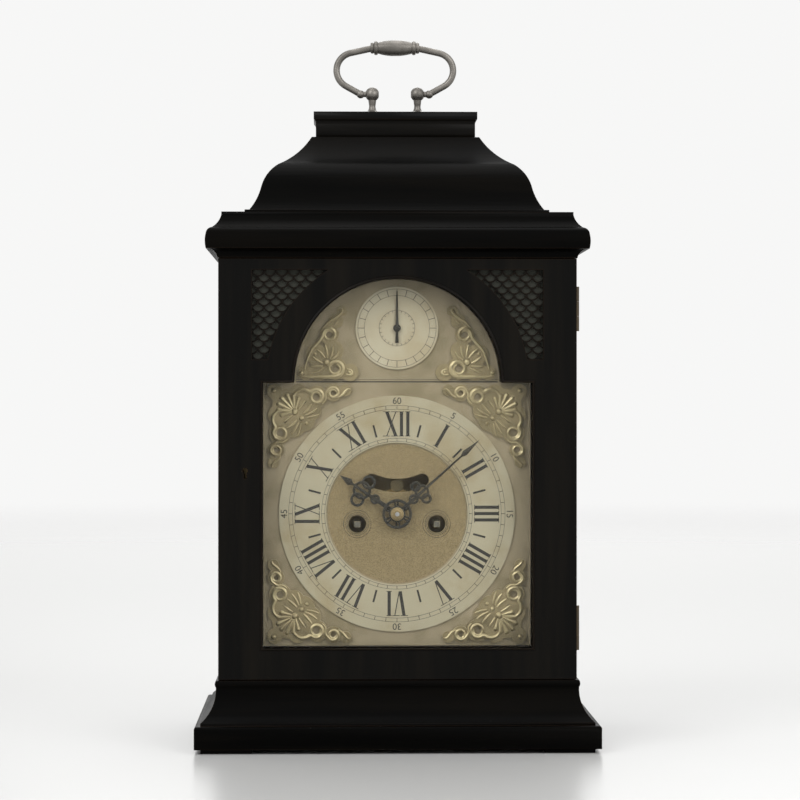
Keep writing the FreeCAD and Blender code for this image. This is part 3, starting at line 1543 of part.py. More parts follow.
def crown_wheel():
    """Crown wheel on its upright arbor: sharp teeth stand up from its rim, under the verge."""
    mesh = layout.contrate + sizes.contrate_radius
    pitch = sizes.contrate_radius * TEETH["crown_pinion"] / TEETH["contrate"]
    upright = Vector(0, 0, 1)
    parts = []
    leaf = sizes.crown_leaf
    length = sizes.crown_leaf_length
    count = TEETH["crown_pinion"]
    for index in range(count):
        vane = Part.makeBox(leaf, 1.32 * pitch, length, Vector(-leaf / 2, 0, mesh - length / 2))
        vane.rotate(Vector(), upright, 180 + (index + 0.5) * 360 / count)
        parts.append(vane)
    web = mesh + sizes.crown_web_rise
    rim_top = web + sizes.crown_rim_height
    outer = sizes.crown_radius + sizes.crown_rim
    inner = sizes.crown_radius - sizes.crown_rim
    parts.append(Part.makeCylinder(outer, sizes.crown_web, Vector(0, 0, web)))
    rim = Part.makeCylinder(outer, sizes.crown_rim_height, Vector(0, 0, web))
    parts.append(rim.cut(Part.makeCylinder(inner, sizes.crown_rim_height, Vector(0, 0, web))))
    half = sizes.crown_tooth_width / 2
    tip = (sizes.crown_tooth_rake - half, rim_top + sizes.crown_tooth_height)
    for tooth in range(TEETH["crown"]):
        spike = outline_face([(-half, rim_top), (half, rim_top), tip], "xz")
        spike = spike.extrude(Vector(0, outer - inner, 0))
        spike.translate(Vector(0, inner, 0))
        spike.rotate(Vector(), upright, tooth * 360 / TEETH["crown"])
        parts.append(spike)
    arbor = Part.makeCylinder(sizes.crown_arbor, rim_top - layout.crown_low, Vector(0, 0, layout.crown_low))
    wheel = arbor.multiFuse(parts)
    wheel.translate(Vector(0, layout.crown, 0))
    shaped("crown_wheel", wheel)


def crown_potence():
    """Bracket on the back plate that the crown wheel's arbor stands in."""
    low = "crown_low - potence_base"
    high = "crown_low + potence_cup"
    foot = block(("-potence_width / 2", "potence_width / 2"), ("movement_back - potence_thickness", "movement_back"),
                 (low, "contrate + contrate_rise - potence_head"))
    arm = block(("-potence_arm / 2", "potence_arm / 2"), ("crown - potence_nose", "movement_back"), (low, high))
    hole = rod("z", "crown_arbor + bearing_play", ("crown_low", high), ("0", "crown"))
    piece("crown_potence", cut(fuse(foot, arm), hole))


def motion_work():
    """Cannon wheel, minute wheel and hour wheel: twelve turns of the first to one of the last."""
    distance = sizes.motion_distance
    z = layout.dial_centre
    thin = sizes.thin_wheel
    cannon_front = layout.cannon_front
    hour_front = layout.hour_front
    size = module(distance, "cannon", "minute")
    pitch = size * TEETH["cannon"] / 2
    cannon = wheel_at(toothed(TEETH["cannon"], pitch, size, 0.30, 270), 0, z, cannon_front, thin)
    cannon = cannon.fuse(arbor_at(0, z, layout.cannon_radius, layout.minute_hand_back, cannon_front + thin))
    bore = arbor_at(0, z, sizes.centre_arbor_radius, layout.minute_hand_back, layout.plate_front)
    shaped("cannon_wheel", cannon.cut(bore))

    face = toothed(TEETH["minute"], pitch, size, 0.30, 90 + 180 / TEETH["minute"])
    wheel = wheel_at(face, 0, z - distance, cannon_front, thin)
    fine = module(distance, "hour", "minute_pinion")
    leaves = toothed(TEETH["minute_pinion"], fine * TEETH["minute_pinion"] / 2, fine, 0.24, 90)
    pinion_front = hour_front - sizes.pinion_overlap / 2
    pinion = wheel_at(leaves, 0, z - distance, pinion_front, cannon_front - pinion_front)
    hole = arbor_at(0, z - distance, sizes.stud_radius + sizes.bearing_play, pinion_front, layout.plate_front)
    shaped("minute_wheel", wheel.fuse(pinion).cut(hole))

    face = toothed(TEETH["hour"], fine * TEETH["hour"] / 2, fine, 0.30, 270 + 180 / TEETH["hour"])
    hour = wheel_at(face, 0, z, hour_front, thin)
    pipe = arbor_at(0, z, layout.hour_bore + sizes.hour_pipe_wall, layout.hour_hand_back, hour_front + thin)
    spigot_front = layout.hour_hand_back - sizes.hand_thickness
    spigot = arbor_at(0, z, layout.hour_bore + sizes.pipe_spigot, spigot_front, hour_front)
    bore = arbor_at(0, z, layout.hour_bore, spigot_front, layout.plate_front)
    shaped("hour_wheel", hour.fuse([pipe, spigot]).cut(bore))


# ---- plates and what stands between them ----

def movement_plate(name, front, back, extra):
    """Brass plate drilled for every arbor that runs in it."""
    body = doc.addObject("PartDesign::Body", name)
    sketch = sketch_on(body, "XZ_Plane", f"-({back})")
    half = "plate_width / 2"
    draw_outline(sketch, [(f"-{half}", "plate_low"), (half, "plate_low"), (half, "plate_high"),
                          (f"-{half}", "plate_high")])
    pad(body, sketch, f"({back}) - ({front})")
    doc.recompute()
    drilling = sketch_on(body, "XZ_Plane", f"-({back})")
    play = " + bearing_play"
    holes = [("centre_arbor_radius" + play, "0", "dial_centre"), ("contrate_arbor" + play, "0", "contrate")]
    for hand in ("-", ""):
        holes.append(("fusee_arbor" + play, f"{hand}winding_offset", "winding"))
        holes.append(("barrel_arbor", f"{hand}barrel_offset", "barrel"))
    for radius, x, z in holes + extra:
        draw_circle(drilling, radius, x, z)
    pocket = body.newObject("PartDesign::Pocket", "arbor_holes")
    pocket.Profile = drilling
    pocket.setExpression("Length", formula(f"({back}) - ({front})"))
    pocket.Reversed = True
    doc.recompute()
    return body


def plates():
    verge_hole = ("verge_radius + bearing_play", "0", "verge")
    hammer_hole = ("verge_radius + bearing_play", "hammer_offset", "hammer")
    front = movement_plate("front_plate_body", "plate_front", "movement_front", [verge_hole, hammer_hole])
    minute = ("0", "dial_centre - motion_distance")
    stud = rod("y", "stud_radius", ("hour_front - stud_end", "movement_front"), minute)
    collar = rod("y", "stud_collar", ("plate_front - stud_collar_height", "plate_front"), minute)
    piece("front_plate", fuse(front, stud, collar))
    back_verge = ("verge_hole", "0", "verge")
    back = movement_plate("back_plate_body", "movement_back", "plate_back", [back_verge, hammer_hole])
    piece("back_plate", back)


def plate_pillars():
    """Turned brass pillars, swollen in the middle, that hold the plates apart."""
    front = layout.movement_front
    back = layout.movement_back
    radius = sizes.pillar_radius
    waist = sizes.pillar_waist
    collar = sizes.pillar_collar
    swell = sizes.pillar_swell
    ease = radius - waist
    middle = (front + back) / 2
    outline = [(0, front), (radius, front), (radius, front + collar), (waist, front + collar + ease),
               (waist, middle - swell - 2 * ease), (radius, middle - swell), (radius, middle + swell, ease),
               (waist, middle + swell + 2 * ease), (waist, back - collar - ease), (radius, back - collar),
               (radius, back), (0, back)]
    pillar = outline_face(outline, "xy").revolve(Vector(), Vector(0, 1, 0), 360)
    offset = sizes.pillar_offset
    low = layout.plate_low + sizes.pillar_inset
    high = layout.plate_high - sizes.pillar_inset
    places = [(-offset, low), (offset, low), (0, low - sizes.pillar_centre_drop), (-offset, high), (offset, high)]
    solids = []
    for x, z in places:
        copy = pillar.copy()
        copy.translate(Vector(x, 0, z))
        solids.append(copy)
    shaped("plate_pillars", Part.makeCompound(solids))


def seat_board():
    piece("seat_board", block(("-inside - seat_housing", "inside + seat_housing"), ("seat_front", "seat_back"),
                              ("seat_low", "plate_low")))


def back_cock():
    """Bridge on the back plate that carries the verge's back pivot."""
    z = ("verge - cock_height / 2", "verge + cock_height / 2")
    outer = "cock_width / 2"
    inner = "cock_width / 2 - cock_leg"
    legs = [block(x, ("plate_back", "cock_front"), z) for x in ((f"-{outer}", f"-({inner})"), (inner, outer))]
    bridge = block((f"-{outer}", outer), ("cock_front", "cock_back"), z)
    hole = rod("y", "verge_radius + bearing_play", ("cock_front", "cock_back"), ("0", "verge"))
    piece("back_cock", cut(fuse(bridge, *legs), hole))


def verge_arbor():
    """Verge with its two pallets over the crown wheel, and the pendulum rod behind the back plate."""
    z = layout.verge
    radius = sizes.verge_radius
    verge = arbor_at(0, z, radius, layout.dial_back + sizes.verge_reach, layout.cock_back)
    thick = sizes.pallet_thickness
    wide = sizes.pallet_width
    long = sizes.pallet_length
    parts = []
    for hand in (-1, 1):
        y = layout.crown + hand * sizes.crown_radius
        flag = Part.makeBox(thick, wide, long, Vector(-thick / 2, y - wide / 2, -long))
        flag.rotate(Vector(), Vector(0, 1, 0), -hand * sizes.pallet_lean)
        flag.translate(Vector(0, 0, z))
        parts.append(flag)
    length = sizes.pendulum_length - sizes.bob_radius + sizes.bob_socket
    parts.append(Part.makeCylinder(radius, length, Vector(0, layout.pendulum, z - length)))
    shaped("verge_arbor", verge.fuse(parts))


def pendulum_bob():
    """Lens-shaped brass bob that fits over the end of the pendulum rod."""
    half = sizes.bob_thickness / 2
    radius = sizes.bob_radius
    y = layout.pendulum
    flat = sizes.bob_flat
    rim = sizes.bob_rim
    outline = [(0, y - half), (flat, y - half), (radius, y - rim, rim), (radius, y + rim), (flat, y + half, rim),
               (0, y + half)]
    lens = outline_face(outline, "xy").revolve(Vector(), Vector(0, 1, 0), 360)
    lens.translate(Vector(0, 0, layout.bob))
    bore = Part.makeCylinder(sizes.verge_radius, radius, Vector(0, y, layout.bob + radius - sizes.bob_socket))
    shaped("pendulum_bob", lens.cut(bore))


def mock_bob():
    """Small disc on a wire from the verge's front end, seen through the slot in the dial."""
    z = "verge - slot_radius"
    front = "dial_back + verge_reach"
    back = f"{front} + mock_bob_thickness"
    bob = rod("y", "mock_bob_radius", (front, back), ("0", z))
    hanger = block(("-mock_wire / 2", "mock_wire / 2"), (f"{back} - mock_wire_thickness", back),
                   (z, "verge - verge_radius"))
    piece("mock_bob", fuse(bob, hanger))


def bell():
    radius = sizes.bell_radius
    wall = sizes.bell_thickness
    low = layout.bell_low
    top = layout.bell_top
    hole = sizes.bell_hole
    waist = sizes.bell_waist
    waist_z = low + sizes.bell_waist_rise
    crown = sizes.bell_crown
    flare = (radius - waist) / 7
    dome = (waist - crown) / 4
    outline = [
        (radius, low), (waist, waist_z, -flare), (crown, top, dome), (hole, top), (hole, top - wall),
        (crown, top - wall), (waist - wall, waist_z - wall / 2, -dome), (radius - wall * 1.4, low, flare),
    ]
    shape = outline_face(outline, "xz").revolve(Vector(), Vector(0, 0, 1), 360)
    shape.translate(Vector(0, layout.crown, 0))
    shaped("bell", shape)


def bell_stand():
    """Steel standard on the back plate, with an arm over the bell and the bolt that holds it."""
    x = -sizes.stand_offset
    thick = sizes.stand_thickness
    wide = sizes.stand_width
    rear = layout.plate_back
    foot = layout.plate_high - sizes.stand_foot
    high = layout.bell_top + sizes.stand_rise
    centre = Vector(0, layout.crown, 0)
    upright = Part.makeBox(wide, thick, high - foot, Vector(x - wide / 2, rear, foot))
    start = Vector(x, rear + thick / 2, 0)
    across = centre - start
    arm = Part.makeBox(across.Length, sizes.stand_arm, thick, Vector(0, -sizes.stand_arm / 2, high - thick))
    arm.rotate(Vector(), Vector(0, 0, 1), math.degrees(math.atan2(across.y, across.x)))
    arm.translate(start)

    def over_bell(radius, low, top):
        return Part.makeCylinder(radius, top - low, centre + Vector(0, 0, low))
    inside = layout.bell_top - sizes.bell_thickness
    end = over_bell(sizes.stand_arm / 2, high - thick, high)
    bolt = over_bell(sizes.bell_bolt, layout.bell_top - sizes.bell_bolt_end, high)
    washer = over_bell(sizes.bell_washer, layout.bell_top, high - thick)
    nut = over_bell(sizes.bell_nut, inside - sizes.bell_nut_height, inside)
    shaped("bell_stand", upright.fuse([arm, end, bolt, washer, nut]).removeSplitter())


def bell_hammer():
    """Hammer on its arbor between the plates, its head beside the rim of the bell."""
    x = sizes.hammer_offset
    z = layout.hammer
    y = layout.crown
    thick = sizes.hammer_stem
    arbor = arbor_at(x, z, sizes.verge_radius, layout.plate_front, layout.plate_back)
    head_z = layout.bell_low + sizes.hammer_rise
    stem = Part.makeBox(thick, thick, head_z - z, Vector(x - thick / 2, y - thick / 2, z))
    face_x = sizes.bell_radius + sizes.hammer_gap
    head = Part.makeCylinder(sizes.hammer_head, sizes.hammer_length, Vector(face_x, y, head_z), Vector(1, 0, 0))
    shaped("bell_hammer", arbor.fuse([stem, head]))


def build():
    base_feet()
    base_moulding()
    case_boards()
    front_rails()
    case_side("case_side_left", -1)
    case_side("case_side_right", 1)
    side_frets()
    side_fret_silks()
    back_frame()
    cornice_moulding()
    bell_top()
    top_cap()
    handle_posts()
    carrying_handle()
    front_door_frame()
    front_door_glass()
    door_frets()
    door_fret_silks()
    hinges()
    front_lock()
    front_lock_bolt()
    rear_door()
    rear_turnbutton()
    dial_mask()
    dial_plate()
    disc_body("chapter_ring", "dial_front", "ring_thickness", ("ring_outer", "ring_inner"), "dial_centre")
    disc_body("arch_disc", "dial_front", "ring_thickness",
              ("arch_disc_radius", "arch_arbor + bearing_play"), "arch_centre")
    dial_spandrels()
    hands()
    hand_collet()
    strike_silent_hand()
    fusee("going_fusee", 1, 0)
    fusee("strike_fusee", -1, sizes.great_wheel_stagger)
    barrel_drum("going_barrel", 1)
    barrel_drum("strike_barrel", -1)
    barrel_arbors()
    gut_lines()
    centre_arbor()
    centre_wheel()
    contrate_wheel()
    crown_wheel()
    crown_potence()
    motion_work()
    plates()
    plate_pillars()
    seat_board()
    back_cock()
    verge_arbor()
    pendulum_bob()
    mock_bob()
    bell()
    bell_stand()
    bell_hammer()


def export():
    """Check the whole document, then write one file for each sub-part."""
    doc.recompute()
    for thing in doc.Objects:
        if "Invalid" in thing.State or "Error" in thing.State:
            raise RuntimeError(f"{thing.Label} failed: {thing.State}")
    broken = [thing.Label for thing in pieces if thing.Shape.isNull() or not thing.Shape.isValid()]
    if broken:
        raise RuntimeError(f"no valid shape: {broken}")
    os.makedirs("parts", exist_ok=True)
    for thing in pieces:
        thing.Shape.exportStep(f"parts/{thing.Label}.step")
    print(len(pieces), "sub-parts written")


build()
export()
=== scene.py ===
import json
import math

import bpy
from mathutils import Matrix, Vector


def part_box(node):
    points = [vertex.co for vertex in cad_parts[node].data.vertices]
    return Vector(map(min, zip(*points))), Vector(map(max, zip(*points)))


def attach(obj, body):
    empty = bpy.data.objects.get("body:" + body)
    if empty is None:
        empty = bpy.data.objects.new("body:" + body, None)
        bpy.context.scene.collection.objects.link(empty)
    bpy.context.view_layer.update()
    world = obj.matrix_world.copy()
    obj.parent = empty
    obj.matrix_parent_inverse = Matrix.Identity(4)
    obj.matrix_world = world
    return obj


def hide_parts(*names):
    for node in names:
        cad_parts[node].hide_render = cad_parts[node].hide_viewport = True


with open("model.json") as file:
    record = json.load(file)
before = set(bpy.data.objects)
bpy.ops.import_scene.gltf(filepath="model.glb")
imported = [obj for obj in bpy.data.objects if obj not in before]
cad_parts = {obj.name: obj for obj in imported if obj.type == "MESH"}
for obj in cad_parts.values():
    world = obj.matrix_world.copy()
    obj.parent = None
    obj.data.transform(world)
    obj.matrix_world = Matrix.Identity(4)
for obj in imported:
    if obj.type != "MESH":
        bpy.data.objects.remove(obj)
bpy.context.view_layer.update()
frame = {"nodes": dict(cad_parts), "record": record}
nodes = frame["nodes"]
mm = 0.001
quarterTurn = math.pi / 2


def middleOf(node):
    low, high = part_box(node)
    return (low + high) / 2


# places on the dial, straight from the frame
dialCentre = middleOf("chapter_ring")
archCentre = middleOf("arch_disc")
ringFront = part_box("chapter_ring")[0].y
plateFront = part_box("chapter_ring")[1].y
springLine = 247.3 * mm  # height at which the dial's arch springs from its square
windingAcross, windingDrop = 26.9 * mm, 7.0 * mm  # winding arbors, beside and below the dial's centre


def clearSelection():
    if bpy.context.object and bpy.context.object.mode == "EDIT":
        bpy.ops.object.mode_set(mode="OBJECT")
    for thing in list(bpy.context.selected_objects):
        thing.select_set(False)


def pick(piece):
    clearSelection()
    piece.select_set(True)
    bpy.context.view_layer.objects.active = piece
    return piece


def editing(piece):
    pick(piece)
    bpy.ops.object.mode_set(mode="EDIT")
    bpy.ops.mesh.select_all(action="SELECT")


def leaveEditing():
    bpy.ops.object.mode_set(mode="OBJECT")


def turn(angle):  # about Y at the origin; with no window the operator turns the other way
    bpy.ops.transform.rotate(value=-angle, orient_axis="Y", center_override=(0, 0, 0))


def settle(piece):  # puts the place into the mesh, so the object sits at the origin
    pick(piece)
    bpy.ops.object.transform_apply(location=True, rotation=True, scale=True)
    return piece


def applied(piece, kind, **settings):
    pick(piece)
    modifier = piece.modifiers.new(kind.lower(), kind)
    for name, value in settings.items():
        setattr(modifier, name, value)
    bpy.ops.object.modifier_apply(modifier=modifier.name)
    return piece


def smooth(piece, degrees):
    pick(piece)
    bpy.ops.object.shade_smooth_by_angle(angle=math.radians(degrees))
    return piece


def facesOut(piece):
    editing(piece)
    bpy.ops.mesh.remove_doubles(threshold=1e-6)
    bpy.ops.mesh.normals_make_consistent(inside=False)
    leaveEditing()
    return piece


def joined(pieces, name):
    clearSelection()
    for piece in pieces:
        piece.select_set(True)
    bpy.context.view_layer.objects.active = pieces[0]
    if len(pieces) > 1:
        bpy.ops.object.join()
    pieces[0].name = name
    pieces[0].data.name = name
    return pieces[0]


def finished(piece, finish, body, slot, *replaced):
    piece.data.materials.clear()
    piece.data.materials.append(finish)
    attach(piece, body)
    if replaced:
        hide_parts(*replaced)
    return piece


class Reading:  # the output of a node in a finish, so that sums and products are written as such
    def __init__(self, finish, socket):
        self.finish = finish
        self.socket = socket

    def maths(self, operation, *values):
        sockets = dict(enumerate(values))
        return self.finish.node("ShaderNodeMath", {"operation": operation}, sockets)

    def __add__(self, other):
        return self.maths("ADD", self, other)

    def __sub__(self, other):
        return self.maths("SUBTRACT", self, other)

    def __rsub__(self, other):
        return self.maths("SUBTRACT", other, self)

    def __mul__(self, other):
        return self.maths("MULTIPLY", self, other)

    def __pow__(self, other):
        return self.maths("POWER", self, other)

    def __gt__(self, other):
        return self.maths("GREATER_THAN", self, other)

    def __abs__(self):
        return self.maths("ABSOLUTE", self)

    __radd__ = __add__
    __rmul__ = __mul__

    def sine(self):
        return self.maths("SINE", self)

    def between(self, low, high):  # 0 below low, 1 above high, eased
        settings = {"interpolation_type": "SMOOTHSTEP"}
        return self.finish.node("ShaderNodeMapRange", settings, {0: self, 1: low, 2: high})


class Finish:  # a material and the few ways that its nodes are made
    def __init__(self, name, **constants):
        self.material = bpy.data.materials.new(name)
        self.material.use_nodes = True
        self.tree = self.material.node_tree
        self.surface = self.tree.nodes["Principled BSDF"]
        for socket, value in constants.items():
            self.surface.inputs[socket.replace("_", " ")].default_value = value

    def node(self, kind, settings=None, sockets=None, output=0):
        made = self.tree.nodes.new(kind)
        for name, value in (settings or {}).items():
            setattr(made, name, value)
        for socket, value in (sockets or {}).items():
            self.join(value, made.inputs[socket])
        return Reading(self, made.outputs[output])

    def join(self, value, socket):
        if isinstance(value, Reading):
            self.tree.links.new(value.socket, socket)
        else:
            socket.default_value = value

    def feed(self, **values):
        for name, value in values.items():
            self.join(value, self.surface.inputs[name.replace("_", " ")])

    def place(self, scale=(1, 1, 1), location=(0, 0, 0)):  # object coordinates
        at = self.node("ShaderNodeTexCoord", output=3)
        return self.node("ShaderNodeMapping", {}, {0: at, 1: location, 3: scale})

    def axes(self, centre=(0, 0, 0)):  # x, y and z, measured from the centre
        at = self.place(location=tuple(-value for value in centre))
        apart = self.node("ShaderNodeSeparateXYZ", {}, {0: at})
        node = apart.socket.node
        return [Reading(self, node.outputs[index]) for index in range(3)]

    def fromAxis(self, centre):  # distance from the line along Y through the centre
        x, _, z = self.axes(centre)
        return (x * x + z * z) ** 0.5

    def noise(self, scale, detail=3, roughness=0.55, at=None):
        sockets = {"Scale": scale, "Detail": detail, "Roughness": roughness}
        sockets["Vector"] = at or self.place()
        return self.node("ShaderNodeTexNoise", {}, sockets)

    def mix(self, factor, first, second):
        sockets = {0: factor, 6: first, 7: second}
        return self.node("ShaderNodeMix", {"data_type": "RGBA"}, sockets, output=2)

    def bump(self, height, distance, strength=1.0, normal=None):
        sockets = {"Height": height, "Distance": distance, "Strength": strength}
        if normal is not None:
            sockets["Normal"] = normal
        return self.node("ShaderNodeBump", {}, sockets)

    def rounded(self, radius):  # the normal of softened edges
        return self.node("ShaderNodeBevel", {"samples": 4}, {"Radius": radius})

    def worn(self, radius):  # 0 on flats, rising towards the sharp edges
        normals = {0: self.rounded(radius), 1: self.node("ShaderNodeNewGeometry", output=1)}
        return 1 - self.node("ShaderNodeVectorMath", {"operation": "DOT_PRODUCT"}, normals, output=1)


def rgb(red, green, blue):
    return (red, green, blue, 1.0)


ebony = {
    "deep": (0.0018, 0.0017, 0.0014), "thin": (0.0062, 0.0050, 0.0034), "worn": rgb(0.034, 0.019, 0.010),
    "gloss": 0.055, "coat": 0.045, "wear": 1.2 * mm, "edge": 0.6 * mm, "pores": 0.06 * mm,
}


def ebonised(name, grain, paintedShade=1.0):  # black-stained fruitwood, brown where the stain has rubbed off; a shade below 1 darkens the colour, gloss and coat of a copy, as painted shade
    wood = Finish(name, Specular_IOR_Level=ebony["gloss"] * paintedShade, Coat_Roughness=0.22)
    along = wood.place(scale=grain)
    figure = wood.noise(55, detail=5, roughness=0.6, at=along)
    pores = wood.noise(420, detail=2, roughness=0.5, at=along)
    cloud = wood.noise(9, detail=2)
    edge = (wood.worn(ebony["wear"]) * (0.4 + wood.noise(45, detail=4))).between(0.04, 0.16)
    deep, thin = [rgb(*[value * paintedShade for value in ebony[key]]) for key in ("deep", "thin")]
    black = wood.mix(figure.between(0.35, 0.7), deep, thin)
    relief = pores.between(0.3, 0.62) + figure * 0.6
    wood.feed(
        Base_Color=wood.mix(edge * 0.5, black, ebony["worn"]),
        Roughness=0.26 + 0.16 * cloud + 0.12 * figure,
        Coat_Weight=(ebony["coat"] - 0.03 * edge) * paintedShade,
        Normal=wood.bump(relief, ebony["pores"], 0.5, wood.rounded(ebony["edge"])),
    )
    return wood.material


def metal(name, colour, dull, metallic, roughness, grain=(1, 1, 1), depth=0.012, arbors=None):
    # colour where rubbed, dull where tarnished, depth of the tool marks in millimetres
    brass = Finish(name)
    tarnish = brass.noise(38, detail=4, roughness=0.65)
    streaks = brass.noise(700, detail=2, at=brass.place(scale=grain))
    edge = brass.worn(1.0 * mm).between(0.02, 0.2)
    bright = rgb(*[min(1, value * 1.35) for value in colour])
    rubbed = brass.mix(tarnish.between(0.38, 0.7), rgb(*colour), rgb(*dull))
    if arbors:  # steel close to the axes of the two fusees
        x, _, z = brass.axes((0, 0, dialCentre.z - windingDrop))
        away = ((abs(x) - windingAcross) ** 2 + z * z) ** 0.5
        rubbed = brass.mix(away > arbors["radius"], rgb(*arbors["steel"]), rubbed)
    brass.feed(
        Base_Color=brass.mix(edge * 0.35, rubbed, bright),
        Roughness=roughness + 0.16 * tarnish,
        Metallic=metallic,
        Normal=brass.bump(streaks, depth * mm, 0.6, brass.rounded(0.25 * mm)),
    )
    return brass.material


def silvered(name, centre, pale, yellow):  # silvered brass with turning marks round its centre
    silver = Finish(name, Specular_IOR_Level=0.5)
    outwards = silver.node("ShaderNodeCombineXYZ", {}, {0: silver.fromAxis(centre) * 2600})
    turning = silver.noise(1.0, detail=2, at=outwards)
    patches = silver.noise(26, detail=5, roughness=0.6)
    silver.feed(
        Base_Color=silver.mix(patches.between(0.42, 0.72), rgb(*pale), rgb(*yellow)),
        Roughness=0.38 + 0.2 * patches,
        Metallic=0.25,
        Normal=silver.bump(turning, 0.01 * mm, 0.5, silver.rounded(0.2 * mm)),
    )
    return silver.material


dialBrass = {
    "stippleLow": rgb(0.082, 0.060, 0.026), "stippleHigh": rgb(0.25, 0.185, 0.095), "stipple": 0.08 * mm,
    "plain": rgb(0.28, 0.225, 0.145), "tarnished": rgb(0.19, 0.15, 0.085), "edge": (46.5 * mm, 47.5 * mm),
}


def mattedBrass():  # stippled inside the ring, plain outside it
    plate = Finish("matted_dial_brass")
    inside = 1 - plate.fromAxis(dialCentre).between(*dialBrass["edge"])
    stipple = plate.node("ShaderNodeTexVoronoi", {}, {"Scale": 1500, "Vector": plate.place()})
    patches = plate.noise(30, detail=5, roughness=0.6)
    matted = plate.mix(stipple.between(0.1, 0.6), dialBrass["stippleLow"], dialBrass["stippleHigh"])
    plain = plate.mix(patches.between(0.4, 0.7), dialBrass["plain"], dialBrass["tarnished"])
    plate.feed(
        Base_Color=plate.mix(inside, plain, matted),
        Roughness=0.42 + 0.2 * patches,
        Metallic=0.45,
        Normal=plate.bump(stipple * inside, dialBrass["stipple"], 0.7),
    )
    return plate.material


oldGlass = {"tint": rgb(0.97, 0.99, 0.975), "shadow": rgb(0.96, 0.975, 0.965), "wave": 0.15 * mm}


def glazed():  # slightly waved, and the lamps reach through it
    glass = Finish("old_glass", Transmission_Weight=1.0, IOR=1.2, Roughness=0.0)
    waves = glass.noise(14, detail=1)
    glass.feed(Base_Color=oldGlass["tint"], Normal=glass.bump(waves, oldGlass["wave"], 0.25))
    through = glass.node("ShaderNodeBsdfTransparent", {}, {0: oldGlass["shadow"]})
    lamp = glass.node("ShaderNodeLightPath", output=1)
    both = glass.node("ShaderNodeMixShader", {}, {0: lamp, 2: through})
    glass.tree.links.new(glass.surface.outputs[0], both.socket.node.inputs[1])
    glass.tree.links.new(both.socket, glass.tree.nodes["Material Output"].inputs[0])
    return glass.material


weave = {
    "green": rgb(0.040, 0.043, 0.034), "faded": rgb(0.075, 0.076, 0.060), "gaps": rgb(0.02, 0.022, 0.018),
    "threads": 9000, "depth": 0.12 * mm,
}


def woven():  # faded silk: two sets of threads
    cloth = Finish("faded_silk", Sheen_Weight=0.25, Sheen_Roughness=0.4, Specular_IOR_Level=0.3)
    x, y, z = cloth.axes()
    across, up = ((x + y) * weave["threads"]).sine(), (z * weave["threads"]).sine()
    threads = across * up * 0.5 + 0.5
    colour = cloth.mix(cloth.noise(24, detail=3), weave["green"], weave["faded"])
    cloth.feed(
        Base_Color=cloth.mix(threads * 0.35, colour, weave["gaps"]),
        Roughness=0.75,
        Normal=cloth.bump(threads, weave["depth"], 0.6),
    )
    return cloth.material


def plainWood(name, pale, dark, grain):  # unstained board with its grain
    wood = Finish(name)
    figure = wood.noise(70, detail=5, roughness=0.6, at=wood.place(scale=grain))
    wood.feed(
        Base_Color=wood.mix(figure.between(0.3, 0.7), rgb(*pale), rgb(*dark)),
        Roughness=0.6 + 0.2 * figure,
        Normal=wood.bump(figure, 0.1 * mm, 0.5),
    )
    return wood.material


def waxAndShade():  # the filling of the engraving; on the turnbutton screw it stands for the slot's shadow, painted shade
    black = Finish("black_wax_and_painted_shade", Specular_IOR_Level=0.35)
    crumb = black.noise(900, detail=2)
    black.feed(
        Base_Color=black.mix(crumb, rgb(0.015, 0.013, 0.011), rgb(0.036, 0.030, 0.023)),
        Roughness=0.5 + 0.2 * crumb,
    )
    return black.material


def twistedGut():
    line = Finish("gut_line", Subsurface_Weight=0.1)
    twist = line.noise(1400, detail=2, at=line.place(scale=(1, 1, 0.3)))
    line.feed(
        Base_Color=line.mix(twist, rgb(0.42, 0.29, 0.13), rgb(0.60, 0.46, 0.25)),
        Roughness=0.45 + 0.2 * twist,
        Normal=line.bump(twist, 0.05 * mm, 0.6),
    )
    return line.material


